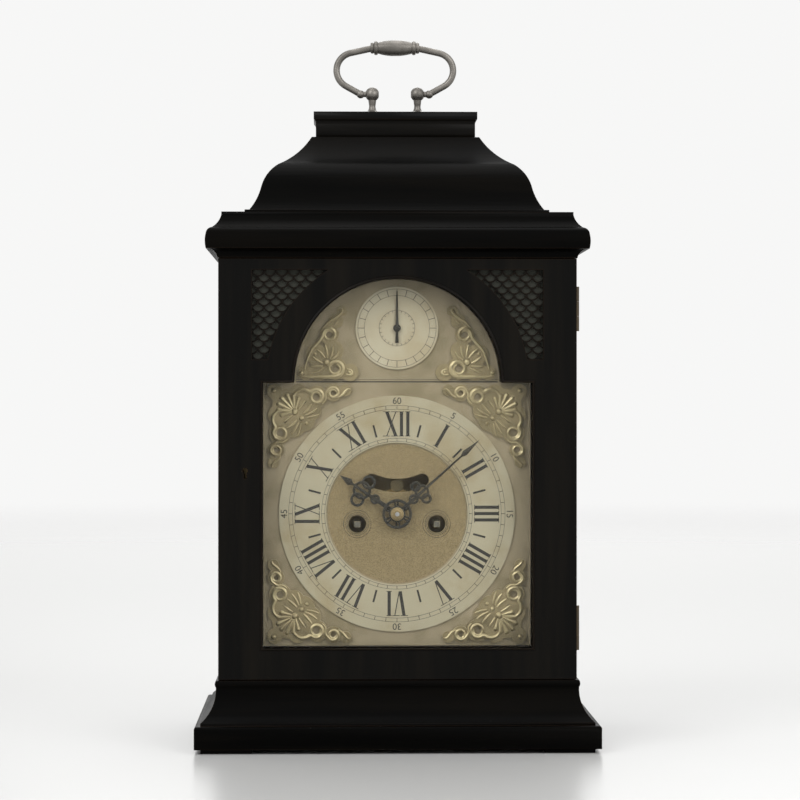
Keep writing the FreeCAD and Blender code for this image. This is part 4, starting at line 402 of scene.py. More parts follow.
upright, sideways = (1, 1, 0.07), (0.07, 1, 1)  # ways that the grain runs
fuseeArbors = {"radius": 3.4 * mm, "steel": (0.13, 0.12, 0.10)}
finishes = {
    "ebonyUp": ebonised("ebonised_wood_upright", upright),
    "ebonyAcross": ebonised("ebonised_wood_across", sideways),
    # the mouldings take a darker copy of the same ebonised wood: painted shade
    "ebonyShadedMouldings": ebonised("ebonised_mouldings_painted_shade", sideways, 0.45),
    "oak": plainWood("plain_oak", (0.30, 0.19, 0.10), (0.17, 0.10, 0.05), sideways),
    "brass": metal("lacquered_brass", (0.62, 0.45, 0.20), (0.42, 0.29, 0.13), 0.85, 0.26, (1, 0.1, 1)),
    "gilt": metal("gilt_castings", (0.25, 0.195, 0.105), (0.16, 0.125, 0.065), 0.5, 0.36, depth=0.03),
    # a lighter copy of the gilt for the raised relief: painted highlight
    "giltPaintedHighlight": metal("gilt_relief_painted_highlight", (0.37, 0.30, 0.17), (0.25, 0.195, 0.105), 0.5, 0.32, depth=0.02),
    "handle": metal("rubbed_handle_brass", (0.225, 0.21, 0.19), (0.12, 0.112, 0.10), 0.75, 0.34),
    "bellMetal": metal("bell_metal", (0.50, 0.36, 0.17), (0.34, 0.24, 0.12), 0.85, 0.3, (1, 1, 12)),
    "aged": metal("aged_brass", (0.085, 0.062, 0.035), (0.040, 0.031, 0.020), 0.55, 0.42),
    # a darker brass for the front plate, seen through the dial's openings: painted shade
    "paintedShadeBrass": metal("painted_shade_brass", (0.20, 0.145, 0.065), (0.11, 0.08, 0.04), 0.6, 0.42),
    # dulled brass; on the front lock it also darkens the keyhole as painted shade
    "dulledAndShade": metal("dulled_brass_and_painted_shade", (0.24, 0.175, 0.085), (0.13, 0.095, 0.048), 0.7, 0.34),
    "bronzed": metal("bronzed_bob", (0.10, 0.074, 0.032), (0.055, 0.042, 0.020), 0.6, 0.4),
    "fusee": metal("fusee_brass", (0.50, 0.37, 0.17), (0.34, 0.24, 0.11), 0.85, 0.3, arbors=fuseeArbors),
    "steel": metal("filed_steel", (0.34, 0.34, 0.345), (0.22, 0.21, 0.20), 0.85, 0.34, (1, 0.1, 1)),
    "blued": metal("blued_steel", (0.022, 0.020, 0.016), (0.040, 0.032, 0.020), 0.5, 0.42),
    "silvered": silvered("silvered_ring", dialCentre, (0.345, 0.300, 0.208), (0.285, 0.225, 0.128)),
    "silveredArch": silvered("silvered_arch_disc", archCentre, (0.41, 0.355, 0.255), (0.36, 0.295, 0.19)),
    "matted": mattedBrass(),
    "glass": glazed(),
    "silk": woven(),
    "waxAndShade": waxAndShade(),
    "gut": twistedGut(),
}
print("finishes made:", len(finishes))


easeAngles = {"flat": 0.6, "sharp": 32, "smooth": 34}  # degrees


def eased(node, edge):  # a copy of the node: merged, flats dissolved, sharp edges bevelled
    piece = nodes[node].copy()
    piece.data = nodes[node].data.copy()
    bpy.context.scene.collection.objects.link(piece)
    for key in list(piece.keys()):
        del piece[key]
    piece.parent = None
    piece.name = node + "_eased"
    piece.data.name = piece.name
    pick(piece)
    if piece.data.has_custom_normals:
        bpy.ops.mesh.customdata_custom_splitnormals_clear()
    editing(piece)
    bpy.ops.mesh.remove_doubles(threshold=1e-6)
    bpy.ops.mesh.mark_sharp(clear=True)
    bpy.ops.mesh.dissolve_limited(angle_limit=math.radians(easeAngles["flat"]))
    bpy.ops.mesh.quads_convert_to_tris(ngon_method="BEAUTY")
    leaveEditing()
    applied(
        piece, "BEVEL", width=edge, segments=2, limit_method="ANGLE",
        angle_limit=math.radians(easeAngles["sharp"]), use_clamp_overlap=True, harden_normals=True,
    )
    return smooth(piece, easeAngles["smooth"])


easing = {  # node: width of its eased edges in mm, and its finish
    "base_feet": (0.5, "ebonyShadedMouldings"), "base_moulding": (0.5, "ebonyShadedMouldings"),
    "cornice_moulding": (0.4, "ebonyShadedMouldings"), "bell_top": (0.4, "ebonyShadedMouldings"),
    "top_cap": (0.4, "ebonyAcross"), "seat_board": (0.6, "oak"), "rear_door_turnbutton": (0.4, "dulledAndShade"),
    "hour_hand": (0.14, "blued"), "minute_hand": (0.14, "blued"), "strike_silent_hand": (0.12, "blued"),
    "hand_collet": (0.2, "dulledAndShade"),
}
bodies = frame["record"]["behaviour"]["bodies"]
bodyOf = {node: body for body, members in bodies.items() for node in members}
slotOf = {row["node"]: row["material_slot"] for row in frame["record"]["subparts"]}
for node, (edge, finish) in easing.items():
    piece = eased(node, edge * mm)
    finished(piece, finishes[finish], bodyOf[node], slotOf[node], node)
print("eased pieces:", len(easing))

slotFinish = {  # finish of the nodes in each material slot
    "ebonised_wood": "ebonyUp", "inner_wood": "oak", "silk": "silk", "handle_brass": "handle",
    "brass": "brass", "dial_brass": "matted", "silvered_brass": "silvered", "gilt_brass": "gilt",
    "bell_metal": "bellMetal", "steel": "steel", "hand_steel": "blued", "glass": "glass", "gut": "gut",
}
ownFinish = {  # nodes that differ from their slot
    "hinge_case_leaves": "aged", "front_hinge_door_leaves": "aged", "rear_hinge_door_leaves": "aged",
    # front_plate's darker brass is painted shade behind the dial's openings
    "front_rails": "ebonyAcross", "arch_disc": "silveredArch", "mock_bob": "bronzed", "front_plate": "paintedShadeBrass",
    # front_lock's darker brass is painted shade inside the keyhole
    "going_fusee": "fusee", "strike_fusee": "fusee", "front_lock": "dulledAndShade",
}
for name, node in nodes.items():
    node.data.materials.clear()
    node.data.materials.append(finishes[ownFinish.get(name, slotFinish[slotOf[name]])])
print("frame nodes given their finish:", len(nodes))


def addBar(start, end, width):  # flat bar in the XZ plane, added to the mesh being edited
    across, up = end[0] - start[0], end[1] - start[1]
    length = math.hypot(across, up)
    bpy.ops.mesh.primitive_plane_add(size=1, rotation=(quarterTurn, 0, 0))
    bpy.ops.transform.resize(value=(length, 1, width))
    turn(-math.atan2(up, across))
    middle = ((start[0] + end[0]) / 2, 0, (start[1] + end[1]) / 2)
    bpy.ops.transform.translate(value=middle)


def addLoop(radius, width, vertices=128, centre=(0, 0)):  # flat ring line in the XZ plane
    place = (centre[0], 0, centre[1])
    bpy.ops.mesh.primitive_circle_add(
        vertices=vertices, radius=radius, rotation=(quarterTurn, 0, 0), location=place)
    bpy.ops.mesh.extrude_region_move()
    grown = (radius + width) / radius
    bpy.ops.transform.resize(value=(grown, 1, grown), center_override=place)


def turned(point, angle):  # clockwise about the dial's centre
    across, up = point
    return across * math.cos(angle) + up * math.sin(angle), up * math.cos(angle) - across * math.sin(angle)


def inlay(name, draw, place, relief, finish, slot, body="case"):
    # what draw adds, raised a little towards the front, or towards the back where relief is negative
    bpy.ops.mesh.primitive_circle_add(vertices=3, radius=1)
    piece = bpy.context.object
    editing(piece)
    bpy.ops.mesh.delete(type="VERT")
    draw()
    bpy.ops.mesh.select_all(action="SELECT")
    bpy.ops.mesh.extrude_region_move(TRANSFORM_OT_translate={"value": (0, -relief, 0)})
    bpy.ops.mesh.select_all(action="SELECT")
    bpy.ops.mesh.normals_make_consistent(inside=False)
    leaveEditing()
    piece.location = place
    piece.name = name
    piece.data.name = name
    settle(piece)
    return finished(piece, finish, body, slot)


ring = {
    "relief": 0.10 * mm, "lineRelief": 0.08 * mm, "line": 0.22 * mm, "inner": 48.8 * mm, "quarterOuter": 51.0 * mm,
    "numeralFoot": 52.6 * mm, "numeralHeight": 16.4 * mm, "minuteInner": 70.6 * mm, "minuteOuter": 73.2 * mm,
    "thick": 2.15 * mm, "thin": 0.6 * mm, "serif": 0.45 * mm, "serifGap": 0.35 * mm, "tick": 0.35 * mm,
    "leftArm": 0.25, "rightArm": 0.16,  # how far in the arms of V and X stand, as shares of the letter
    "halfHours": (53.5 * mm, 57.5 * mm, 62 * mm), "halfHourWidth": 1.32 * mm,
}
numerals = ["XII", "I", "II", "III", "IIII", "V", "VI", "VII", "VIII", "IX", "X", "XI"]
letterWidth = {"I": 4.3 * mm, "V": 10.6 * mm, "X": 10.4 * mm}


def letterStrokes(letter, left):  # strokes of one Roman letter: start, end, width, as (across, up)
    high, thick, thin, gap = ring["numeralHeight"], ring["thick"], ring["thin"], ring["serifGap"]
    wide = letterWidth[letter]
    right = left + wide
    middle = (left + right) / 2
    leftArm, rightArm = left + ring["leftArm"] * wide, right - ring["rightArm"] * wide
    if letter == "I":
        strokes = [((middle, 0), (middle, high), thick)]
        serifs = [(left + gap, right - gap, 0), (left + gap, right - gap, high)]
    elif letter == "V":
        foot = middle + 0.3 * thick  # the thin arm meets the side of the thick one
        strokes = [((leftArm, high), (middle, 0), thick), ((rightArm, high), (foot, 0), thin)]
        serifs = [(left, middle - gap, high), (middle + gap, right, high)]
    else:
        strokes = [((leftArm, high), (rightArm, 0), thick), ((rightArm, high), (leftArm, 0), thin)]
        serifs = [(left, middle - gap, high), (middle + gap, right, high),
                  (left, middle - gap, 0), (middle + gap, right, 0)]
    return strokes + [((near, up), (far, up), ring["serif"]) for near, far, up in serifs]


def drawNumerals():
    for hour, word in enumerate(numerals):
        angle = math.radians(30 * hour)
        left = -sum(letterWidth[letter] for letter in word) / 2
        for letter in word:
            for start, end, width in letterStrokes(letter, left):
                near, far = [turned((across, up + ring["numeralFoot"]), angle) for across, up in (start, end)]
                addBar(near, far, width)
            left += letterWidth[letter]


def addTicks(count, inner, outer, width):
    for index in range(count):
        angle = 2 * math.pi * index / count
        addBar(turned((0, inner), angle), turned((0, outer), angle), width)


def drawDivisions():
    for radius in ("inner", "quarterOuter", "minuteInner", "minuteOuter"):
        addLoop(ring[radius], ring["line"])
    addTicks(60, ring["minuteInner"], ring["minuteOuter"], ring["tick"])
    addTicks(48, ring["inner"], ring["quarterOuter"], ring["tick"])
    for half in range(12):  # half-hour marks: short bars between the numerals
        angle = math.radians(30 * half + 15)
        for near, far in zip(ring["halfHours"], ring["halfHours"][1:]):
            addBar(turned((0, near), angle), turned((0, far), angle), ring["halfHourWidth"])


onRing = (0, ringFront, dialCentre.z)
inlay("hour_numerals", drawNumerals, onRing, ring["relief"], finishes["waxAndShade"], "silvered_brass")
inlay("ring_divisions", drawDivisions, onRing, ring["lineRelief"], finishes["waxAndShade"], "silvered_brass")

minuteFigures = {"size": 6.21 * mm, "foot": 74.4 * mm, "relief": 0.08 * mm}
figures = []
for index in range(1, 13):
    bpy.ops.object.text_add()
    figure = bpy.context.object
    figure.data.body = str(5 * index)
    figure.data.align_x = "CENTER"
    figure.data.size = minuteFigures["size"]
    figure.data.extrude = minuteFigures["relief"] / 2
    pick(figure)
    bpy.ops.object.convert(target="MESH")
    angle = math.radians(30 * index)
    across, up = turned((0, minuteFigures["foot"]), angle)
    figure.location = (across, ringFront - minuteFigures["relief"] / 2, dialCentre.z + up)
    figure.rotation_euler = (quarterTurn, angle, 0)
    settle(figure)
    figures.append(figure)
finished(joined(figures, "minute_figures"), finishes["waxAndShade"], "case", "silvered_brass")


archRing = {"outer": 26.4 * mm, "inner": 22.0 * mm, "hub": 12.0 * mm, "hubInner": 10.6 * mm, "ticks": 24}


def drawArchRing():
    for radius in ("outer", "inner", "hub"):
        addLoop(archRing[radius], ring["line"], vertices=96)
    addTicks(archRing["ticks"], archRing["inner"], archRing["outer"], ring["tick"])
    addTicks(archRing["ticks"], archRing["hubInner"], archRing["hub"], ring["tick"])


onArch = (0, ringFront, archCentre.z)
inlay("arch_divisions", drawArchRing, onArch, ring["relief"], finishes["waxAndShade"], "silvered_brass")

plateLines = {
    "half": 68.5 * mm, "joint": 0.8 * mm, "hairline": 0.25 * mm, "gap": 1.5 * mm, "relief": 0.08 * mm,
    "windingRings": (6.6 * mm, 7.6 * mm, 9.2 * mm), "windingLine": 0.3 * mm,
}


def drawPlateLines():  # the joint under the arch, and turned rings round the winding holes
    half = plateLines["half"]
    for up, width in ((0, plateLines["joint"]), (plateLines["gap"], plateLines["hairline"])):
        addBar((-half, springLine + up), (half, springLine + up), width)
    for hand in (-1, 1):
        centre = (hand * windingAcross, dialCentre.z - windingDrop)
        for radius in plateLines["windingRings"]:
            addLoop(radius, plateLines["windingLine"], vertices=64, centre=centre)


onPlate = (0, plateFront, 0)
inlay("dial_plate_lines", drawPlateLines, onPlate, plateLines["relief"], finishes["waxAndShade"], "dial_brass")
print("dial engraved")


def strand(points, radii, resolution=5):  # tapering round strand through the points
    data = bpy.data.curves.new("strand", "CURVE")
    data.dimensions = "3D"
    data.bevel_depth = 1.0
    data.bevel_resolution = 1
    data.resolution_u = resolution
    data.use_fill_caps = True
    spline = data.splines.new("NURBS")
    spline.points.add(len(points) - 1)
    for index, (point, place) in enumerate(zip(spline.points, points)):
        point.co = (*place, 1)
        share = index / (len(points) - 1) * (len(radii) - 1)
        low = min(int(share), len(radii) - 2)
        point.radius = radii[low] + (share - low) * (radii[low + 1] - radii[low])
    spline.use_endpoint_u = True
    spline.order_u = 3
    piece = bpy.data.objects.new("strand", data)
    bpy.context.scene.collection.objects.link(piece)
    pick(piece)
    bpy.ops.object.convert(target="MESH")
    return bpy.context.object


def bead(place, radius, flat=0.7):
    bpy.ops.mesh.primitive_uv_sphere_add(segments=12, ring_count=7, radius=radius, location=place)
    piece = bpy.context.object
    editing(piece)
    bpy.ops.transform.resize(value=(1, flat, 1), center_override=place)
    leaveEditing()
    return settle(piece)


def volute(centre, radius, start, turns, tightest, hand=-1, steps=9):
    # spiral from radius in to tightest; start in degrees, hand -1 clockwise, steps in each turn
    points = []
    count = max(4, round(steps * turns))
    for index in range(count + 1):
        share = index / count
        angle = math.radians(start + hand * 360 * turns * share)
        reach = radius + (tightest - radius) * share
        points.append((centre[0] + reach * math.cos(angle), centre[1] + reach * math.sin(angle)))
    return points


def mirrored(points):
    return [(v, u) for u, v in points]


castings = {  # proud: how far a strand's axis stands in front, as a share of its radius
    "front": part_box("dial_spandrels")[0].y, "proud": 0.25, "corner": 88 * mm, "arch": 69.5 * mm,
}


def relief(name, strands, beads, reach, centre, hands):
    # one casting's strands and beads, in shares of its reach, then a mirrored copy for each of the hands
    face = castings["front"]
    made = []
    for points, radii in strands:
        depth = face - max(radii) * castings["proud"] * mm
        places = [(u * reach, depth, v * reach) for u, v in points]
        made.append(strand(places, [radius * mm for radius in radii]))
    for (u, v), radius in beads:
        made.append(bead((u * reach, face, v * reach), radius * mm))
    first = settle(joined(made, name))
    copies = []
    for across, up in hands:
        copy = first.copy()
        copy.data = first.data.copy()
        bpy.context.scene.collection.objects.link(copy)
        editing(copy)
        bpy.ops.transform.resize(value=(across, 1, up), center_override=(0, 0, 0))
        leaveEditing()
        copies.append(copy)
    bpy.data.objects.remove(first)
    whole = joined(copies, name)
    whole.location = centre
    settle(whole)
    facesOut(whole)
    smooth(whole, 50)
    # the relief takes the lighter copy of the gilt: painted highlight
    return finished(whole, finishes["giltPaintedHighlight"], "case", "gilt_brass")


cornerArm = [  # points in shares of the reach, and radii along them in millimetres
    ([(0.83, 0.80), (0.90, 0.805), (0.955, 0.76), (0.957, 0.70)]
     + volute((0.90, 0.62), 0.058, 55, 1.45, 0.034), (0.8, 1.5, 1.5, 1.2, 1.0, 0.75)),
    ([(0.845, 0.575), (0.87, 0.545), (0.92, 0.553)] + volute((0.93, 0.49), 0.046, 70, 1.4, 0.025),
     (0.5, 1.2, 1.2, 0.9, 0.65)),
    ([(0.895, 0.455), (0.905, 0.425), (0.94, 0.40), (0.965, 0.375), (0.955, 0.36)], (0.5, 1.2, 0.9, 0.35)),
    ([(0.80, 0.755), (0.845, 0.73), (0.87, 0.705)], (0.5, 1.2, 0.4)),
    ([(0.77, 0.72), (0.80, 0.685), (0.845, 0.655)], (0.5, 1.3, 0.4)),
    ([(0.755, 0.705), (0.775, 0.655), (0.81, 0.615)], (0.5, 1.3, 0.4)),
    ([(0.74, 0.695), (0.745, 0.645), (0.765, 0.60)], (0.5, 1.1, 0.35)),
]
shellFan = {  # ribs of a shell, in shares of the reach, degrees and millimetres
    "root": (0.785, 0.785), "reach": 0.145, "spread": 118, "ribs": 7, "shorter": 0.28,
    "steps": (0.2, 0.6, 1), "radii": (0.7, 1.1, 1.5), "tip": 1.55,
}
cornerStrands = cornerArm + [(mirrored(points), radii) for points, radii in cornerArm]
cornerBeads = [((0.785, 0.785), 2.3), ((0.735, 0.735), 1.7), ((0.695, 0.695), 1.3), ((0.948, 0.948), 1.7)]
for rib in range(shellFan["ribs"]):
    lean = 2 * rib / (shellFan["ribs"] - 1) - 1
    angle = math.radians(45 + lean * shellFan["spread"] / 2)
    far = shellFan["reach"] * (1 - shellFan["shorter"] * lean ** 2)
    u, v = shellFan["root"]
    points = [
        (u + step * far * math.cos(angle), v + step * far * math.sin(angle))
        for step in shellFan["steps"]
    ]
    cornerStrands.append((points, shellFan["radii"]))
    cornerBeads.append((points[-1], shellFan["tip"]))
archStrands = [
    ([(0.93, 0.06), (0.86, 0.045), (0.77, 0.05), (0.69, 0.045)]
     + volute((0.60, 0.13), 0.086, -70, 1.5, 0.043), (0.5, 1.6, 1.6, 1.3, 1.0, 0.7)),
    ([(0.90, 0.12), (0.875, 0.22), (0.835, 0.32), (0.77, 0.385)]
     + volute((0.66, 0.46), 0.070, -15, 1.45, 0.037, hand=1), (0.5, 1.5, 1.5, 1.2, 0.9, 0.65)),
    ([(0.72, 0.525), (0.67, 0.585), (0.605, 0.625), (0.55, 0.665), (0.525, 0.70), (0.55, 0.715)],
     (0.5, 1.3, 0.9, 0.5)),
    ([(0.50, 0.075), (0.46, 0.06), (0.43, 0.085), (0.45, 0.12), (0.49, 0.125)], (0.6, 1.1, 0.9, 0.4)),
    ([(0.71, 0.14), (0.77, 0.095), (0.83, 0.09)], (0.5, 1.4, 0.4)),
    ([(0.72, 0.155), (0.79, 0.145), (0.845, 0.15)], (0.5, 1.4, 0.4)),
    ([(0.72, 0.18), (0.78, 0.20), (0.82, 0.245)], (0.5, 1.4, 0.4)),
    ([(0.70, 0.23), (0.735, 0.285), (0.785, 0.315)], (0.5, 1.4, 0.4)),
    ([(0.675, 0.23), (0.68, 0.295), (0.70, 0.36)], (0.5, 1.4, 0.4)),
    ([(0.655, 0.225), (0.625, 0.275), (0.625, 0.345)], (0.5, 1.4, 0.4)),
    ([(0.645, 0.215), (0.59, 0.235), (0.565, 0.295)], (0.5, 1.3, 0.4)),
    ([(0.61, 0.56), (0.585, 0.58), (0.57, 0.605)], (0.5, 1.1, 0.4)),
]
archBeads = [
    ((0.685, 0.19), 2.4), ((0.46, 0.095), 1.2), ((0.93, 0.085), 1.5), ((0.80, 0.27), 1.2),
    ((0.545, 0.69), 1.3),
]
corners = [(-1, -1), (-1, 1), (1, -1), (1, 1)]
relief("corner_relief", cornerStrands, cornerBeads, castings["corner"], (0, 0, dialCentre.z), corners)
relief("arch_relief", archStrands, archBeads, castings["arch"], (0, 0, springLine), [(-1, 1), (1, 1)])
print("castings given their relief")

doorBead = {  # round the opening of the front door
    "half": 91.0 * mm, "low": 68.2 * mm, "arch": 70.0 * mm, "front": -85.0 * mm, "radius": 1.1 * mm,
    "steps": 48,
}


def closedTube(name, points, radius):
    data = bpy.data.curves.new(name, "CURVE")
    data.dimensions = "3D"
    data.bevel_depth = radius
    data.bevel_resolution = 2
    spline = data.splines.new("POLY")
    spline.points.add(len(points) - 1)
    for point, place in zip(spline.points, points):
        point.co = (*place, 1)
    spline.use_cyclic_u = True
    piece = bpy.data.objects.new(name, data)
    bpy.context.scene.collection.objects.link(piece)
    pick(piece)
    bpy.ops.object.convert(target="MESH")
    return bpy.context.object


half, front, low, arch = [doorBead[key] for key in ("half", "front", "low", "arch")]
opening = [(-half, front, low), (half, front, low), (half, front, springLine)]
for step in range(doorBead["steps"] + 1):
    angle = math.pi * step / doorBead["steps"]
    opening.append((arch * math.cos(angle), front, springLine + arch * math.sin(angle)))
opening.append((-half, front, springLine))
beading = smooth(closedTube("door_bead", opening, doorBead["radius"]), 40)
finished(beading, finishes["ebonyUp"], "front_door", "ebonised_wood")
print("door bead laid")

# silk behind the frets: flat cuts, pulled tight on their frames
silk = {
    "thickness": 0.25 * mm, "slack": 0.10 * mm, "wavesAcross": 190, "wavesUp": 114, "shift": 2,
    "columns": 40, "rows": 60,
}


def stretchedSilk(name, place, width, low, high, left, right, top, body, replaced):
    # place(across, up) gives a point; left(up), right(up) and top(across) bound the cut
    bpy.ops.mesh.primitive_grid_add(x_subdivisions=silk["columns"], y_subdivisions=silk["rows"], size=2)
    cloth = bpy.context.object
    for vertex in cloth.data.vertices:
        share, rise = (vertex.co.x + 1) / 2, (vertex.co.y + 1) / 2
        up = low + rise * (high - low)
        across = left(up) + share * (right(up) - left(up))
        up = low + rise * (top(across) - low)
        wave = math.sin(across * silk["wavesAcross"] + silk["shift"]) * math.sin(up * silk["wavesUp"])
        vertex.co = place(across, up, silk["slack"] * wave)
    cloth.name = name
    cloth.data.name = name
    facesOut(cloth)
    applied(cloth, "SOLIDIFY", thickness=silk["thickness"], offset=0)
    smooth(settle(cloth), 60)
    finished(cloth, finishes["silk"], body, "silk", replaced)


doorSilk = {
    "radius": 86.0 * mm, "outer": 99.5 * mm, "low": 260.1 * mm, "high": 324.1 * mm, "depth": -80.2 * mm,
    "area": 1.895e-3,
}


def doorSilkInner(up):
    return math.sqrt(doorSilk["radius"] ** 2 - (up - springLine) ** 2)


for hand, side in ((-1, "left"), (1, "right")):
    stretchedSilk(
        "door_silk_" + side, lambda across, up, slack: (hand * across, doorSilk["depth"] + slack, up),
        doorSilk["outer"] - doorSilkInner(doorSilk["high"]), doorSilk["low"], doorSilk["high"],
        doorSilkInner, lambda up: doorSilk["outer"], lambda across: doorSilk["high"],
        "front_door", "door_fret_silks",
    )

sideSilk = {
    "half": 40.0 * mm, "middle": 8.75 * mm, "low": 103.0 * mm, "spring": 235.0 * mm, "depth": 112.7 * mm,
    "area": 1.307e-2,
}


def sideSilkTop(across):
    return sideSilk["spring"] + math.sqrt(max(0, sideSilk["half"] ** 2 - across ** 2))


for hand, side in ((-1, "left"), (1, "right")):
    half = sideSilk["half"]
    stretchedSilk(
        "side_silk_" + side,
        lambda across, up, slack: (hand * (sideSilk["depth"] + slack), sideSilk["middle"] + across, up),
        2 * half, sideSilk["low"], sideSilk["spring"] + half,
        lambda up: -half, lambda up: half, sideSilkTop,
        "case", "side_fret_silks",
    )
print("silks stretched")

gut = {  # a line taut from barrel to fusee, in millimetres; steps are those in each lay of the plies
    "start": (53.52, -3.40, 107.58), "end": (41.85, -3.40, 154.70), "ply": 0.47, "apart": 0.9, "lay": 4.2,
    "steps": 8,
}


def gutPlies(side):  # the two plies of one line, laid round one another; side is -1 or 1
    start, end = [Vector((side * x, y, z)) for x, y, z in (gut["start"], gut["end"])]
    along = (end - start).normalized()
    across = Vector((0, 1, 0))
    upward = along.cross(across)
    count = round((end - start).length / gut["lay"] * gut["steps"])
    plies = []
    for half in (0, math.pi):
        points = []
        for step in range(count + 1):
            angle = 2 * math.pi * step / gut["steps"] + half
            middle = start.lerp(end, step / count)
            outward = across * math.cos(angle) + upward * math.sin(angle)
            points.append((middle + outward * gut["ply"] * gut["apart"]) * mm)
        plies.append(strand(points, (gut["ply"] * mm, gut["ply"] * mm), resolution=2))
    return plies


lines = joined(gutPlies(-1) + gutPlies(1), "gut_plies")
finished(smooth(facesOut(lines), 60), finishes["gut"], "case", "gut", "gut_lines")
print("gut lines laid")

backPlate = {
    "face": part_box("back_plate")[1].y, "low": 74 * mm, "high": 232 * mm, "half": 62 * mm,
    "relief": 0.06 * mm, "borders": (1.6 * mm, 2.7 * mm), "borderLine": 0.24 * mm, "stemLine": 0.48 * mm,
    "curlLine": 0.4 * mm, "leafLine": 0.6 * mm, "leafReach": 1.24,
    "eye": 5, "branchDrop": 1.3, "bend": 0.6,  # a curl's radius over its eye's, and its branch off the stem
    "scrolls": [  # across, up, radius, start, turns, hand, in millimetres and degrees
        (21, 101, 12, -170, 1.5, 1), (43, 118, 11, -140, 1.4, 1), (19, 133, 10, -120, 1.4, -1),
        (42, 149, 13, -150, 1.6, 1), (20, 165, 11, -100, 1.5, -1), (42, 183, 12, -150, 1.5, 1),
        (24, 197, 9, -120, 1.4, -1), (44, 207, 9, -130, 1.4, 1), (44, 93, 8, 160, 1.3, -1),
    ],
    "stem": {"across": 31, "sway": 5, "wave": 11, "low": 88, "high": 214, "steps": 36},
    "rivets": [(-56, 82), (56, 82), (0, 80), (-56, 224), (56, 224)], "rivet": 3.1 * mm, "rivetRise": 0.3,
}


def onStem(up, side):  # point of the waved stem at a height in millimetres
    stem = backPlate["stem"]
    wave = math.sin((up - stem["low"]) / stem["wave"])
    return side * (stem["across"] + stem["sway"] * wave) * mm, up * mm


def addPath(points, width):
    for near, far in zip(points, points[1:]):
        addBar(near, far, width)


def drawBackPlate():  # a border and scrolling leaves
    low, high, half = backPlate["low"], backPlate["high"], backPlate["half"]
    for inset in backPlate["borders"]:
        left, right, foot, head = inset - half, half - inset, low + inset, high - inset
        border = [(left, foot), (right, foot), (right, head), (left, head), (left, foot)]
        addPath(border, backPlate["borderLine"])
    stem = backPlate["stem"]
    for side in (-1, 1):
        rise = (stem["high"] - stem["low"]) / stem["steps"]
        heights = [stem["low"] + rise * step for step in range(stem["steps"] + 1)]
        addPath([onStem(up, side) for up in heights], backPlate["stemLine"])
    for across, up, radius, start, turns, hand in backPlate["scrolls"]:
        for side in (-1, 1):
            centre = (side * across * mm, up * mm)
            opened = start if side > 0 else 180 - start
            eye = radius * mm / backPlate["eye"]
            points = volute(centre, radius * mm, opened, turns, eye, hand * side, steps=13)
            root = onStem(max(stem["low"], up - backPlate["branchDrop"] * radius), side)
            bend = points[0][0] * backPlate["bend"] + root[0] * (1 - backPlate["bend"])
            addPath([root, (bend, root[1])] + points, backPlate["curlLine"])
            for near, far in zip(points[1:12:2], points[2:13:2]):  # leaves outside the curl
                out = [
                    (value - middle) * backPlate["leafReach"] + middle
                    for value, middle in zip(far, centre)
                ]
                addBar(near, out, backPlate["leafLine"])


face = backPlate["face"]
inlay("back_plate_engraving", drawBackPlate, (0, face, 0), -backPlate["relief"], finishes["aged"], "brass")
rivets = [
    bead((across * mm, face, up * mm), backPlate["rivet"], backPlate["rivetRise"])
    for across, up in backPlate["rivets"]
]
finished(smooth(joined(rivets, "pillar_rivets"), 60), finishes["brass"], "case", "brass")

screwHead = {
    "radius": 2.3 * mm, "height": 1.2 * mm, "slot": 0.55 * mm, "deep": 0.6 * mm, "edge": 0.25 * mm,
    "vertices": 28, "places": [(-16, 37.5, 219), (16, 37.5, 219), (-38, 29.5, 207)],
}


def slottedScrew(place):  # head facing the back, its slot cut by a bar
    radius, height = screwHead["radius"], screwHead["height"]
    bpy.ops.mesh.primitive_cylinder_add(
        vertices=screwHead["vertices"], radius=radius, depth=height, rotation=(quarterTurn, 0, 0),
        location=(0, height / 2, 0),
    )
    head = settle(bpy.context.object)
    applied(head, "BEVEL", width=screwHead["edge"], segments=2, limit_method="ANGLE")
    bpy.ops.mesh.primitive_cube_add(size=1, location=(0, height, 0))
    bar = bpy.context.object
    editing(bar)
    size = (3 * radius, 2 * screwHead["deep"], screwHead["slot"])
    bpy.ops.transform.resize(value=size, center_override=(0, height, 0))
    leaveEditing()
    applied(head, "BOOLEAN", operation="DIFFERENCE", object=bar, solver="EXACT")
    bpy.data.objects.remove(bar)
    head.rotation_euler = (0, math.radians(place[0] * 3), 0)  # slots lie at different angles
    head.location = [value * mm for value in place]
    return settle(head)


screws = [slottedScrew(place) for place in screwHead["places"]]
finished(smooth(joined(screws, "movement_screws"), 40), finishes["blued"], "case", "steel")
buttonSlot = {
    "end": (1.76 * mm, 1.32 * mm), "width": 0.6 * mm, "relief": 0.05 * mm,
    "place": (-97 * mm, 88.7 * mm, 186.5 * mm),
}


def drawSlot():  # of the screw that the turnbutton turns on; a black bar in place of the cut: painted shade in the slot
    across, up = buttonSlot["end"]
    addBar((-across, -up), (across, up), buttonSlot["width"])


# the slot is not cut, only drawn in black: painted shade
inlay(
    "turnbutton_slot_painted_shade", drawSlot, buttonSlot["place"], -buttonSlot["relief"], finishes["waxAndShade"], "brass",
    "turnbutton",
)
print("back plate engraved, riveted and screwed")

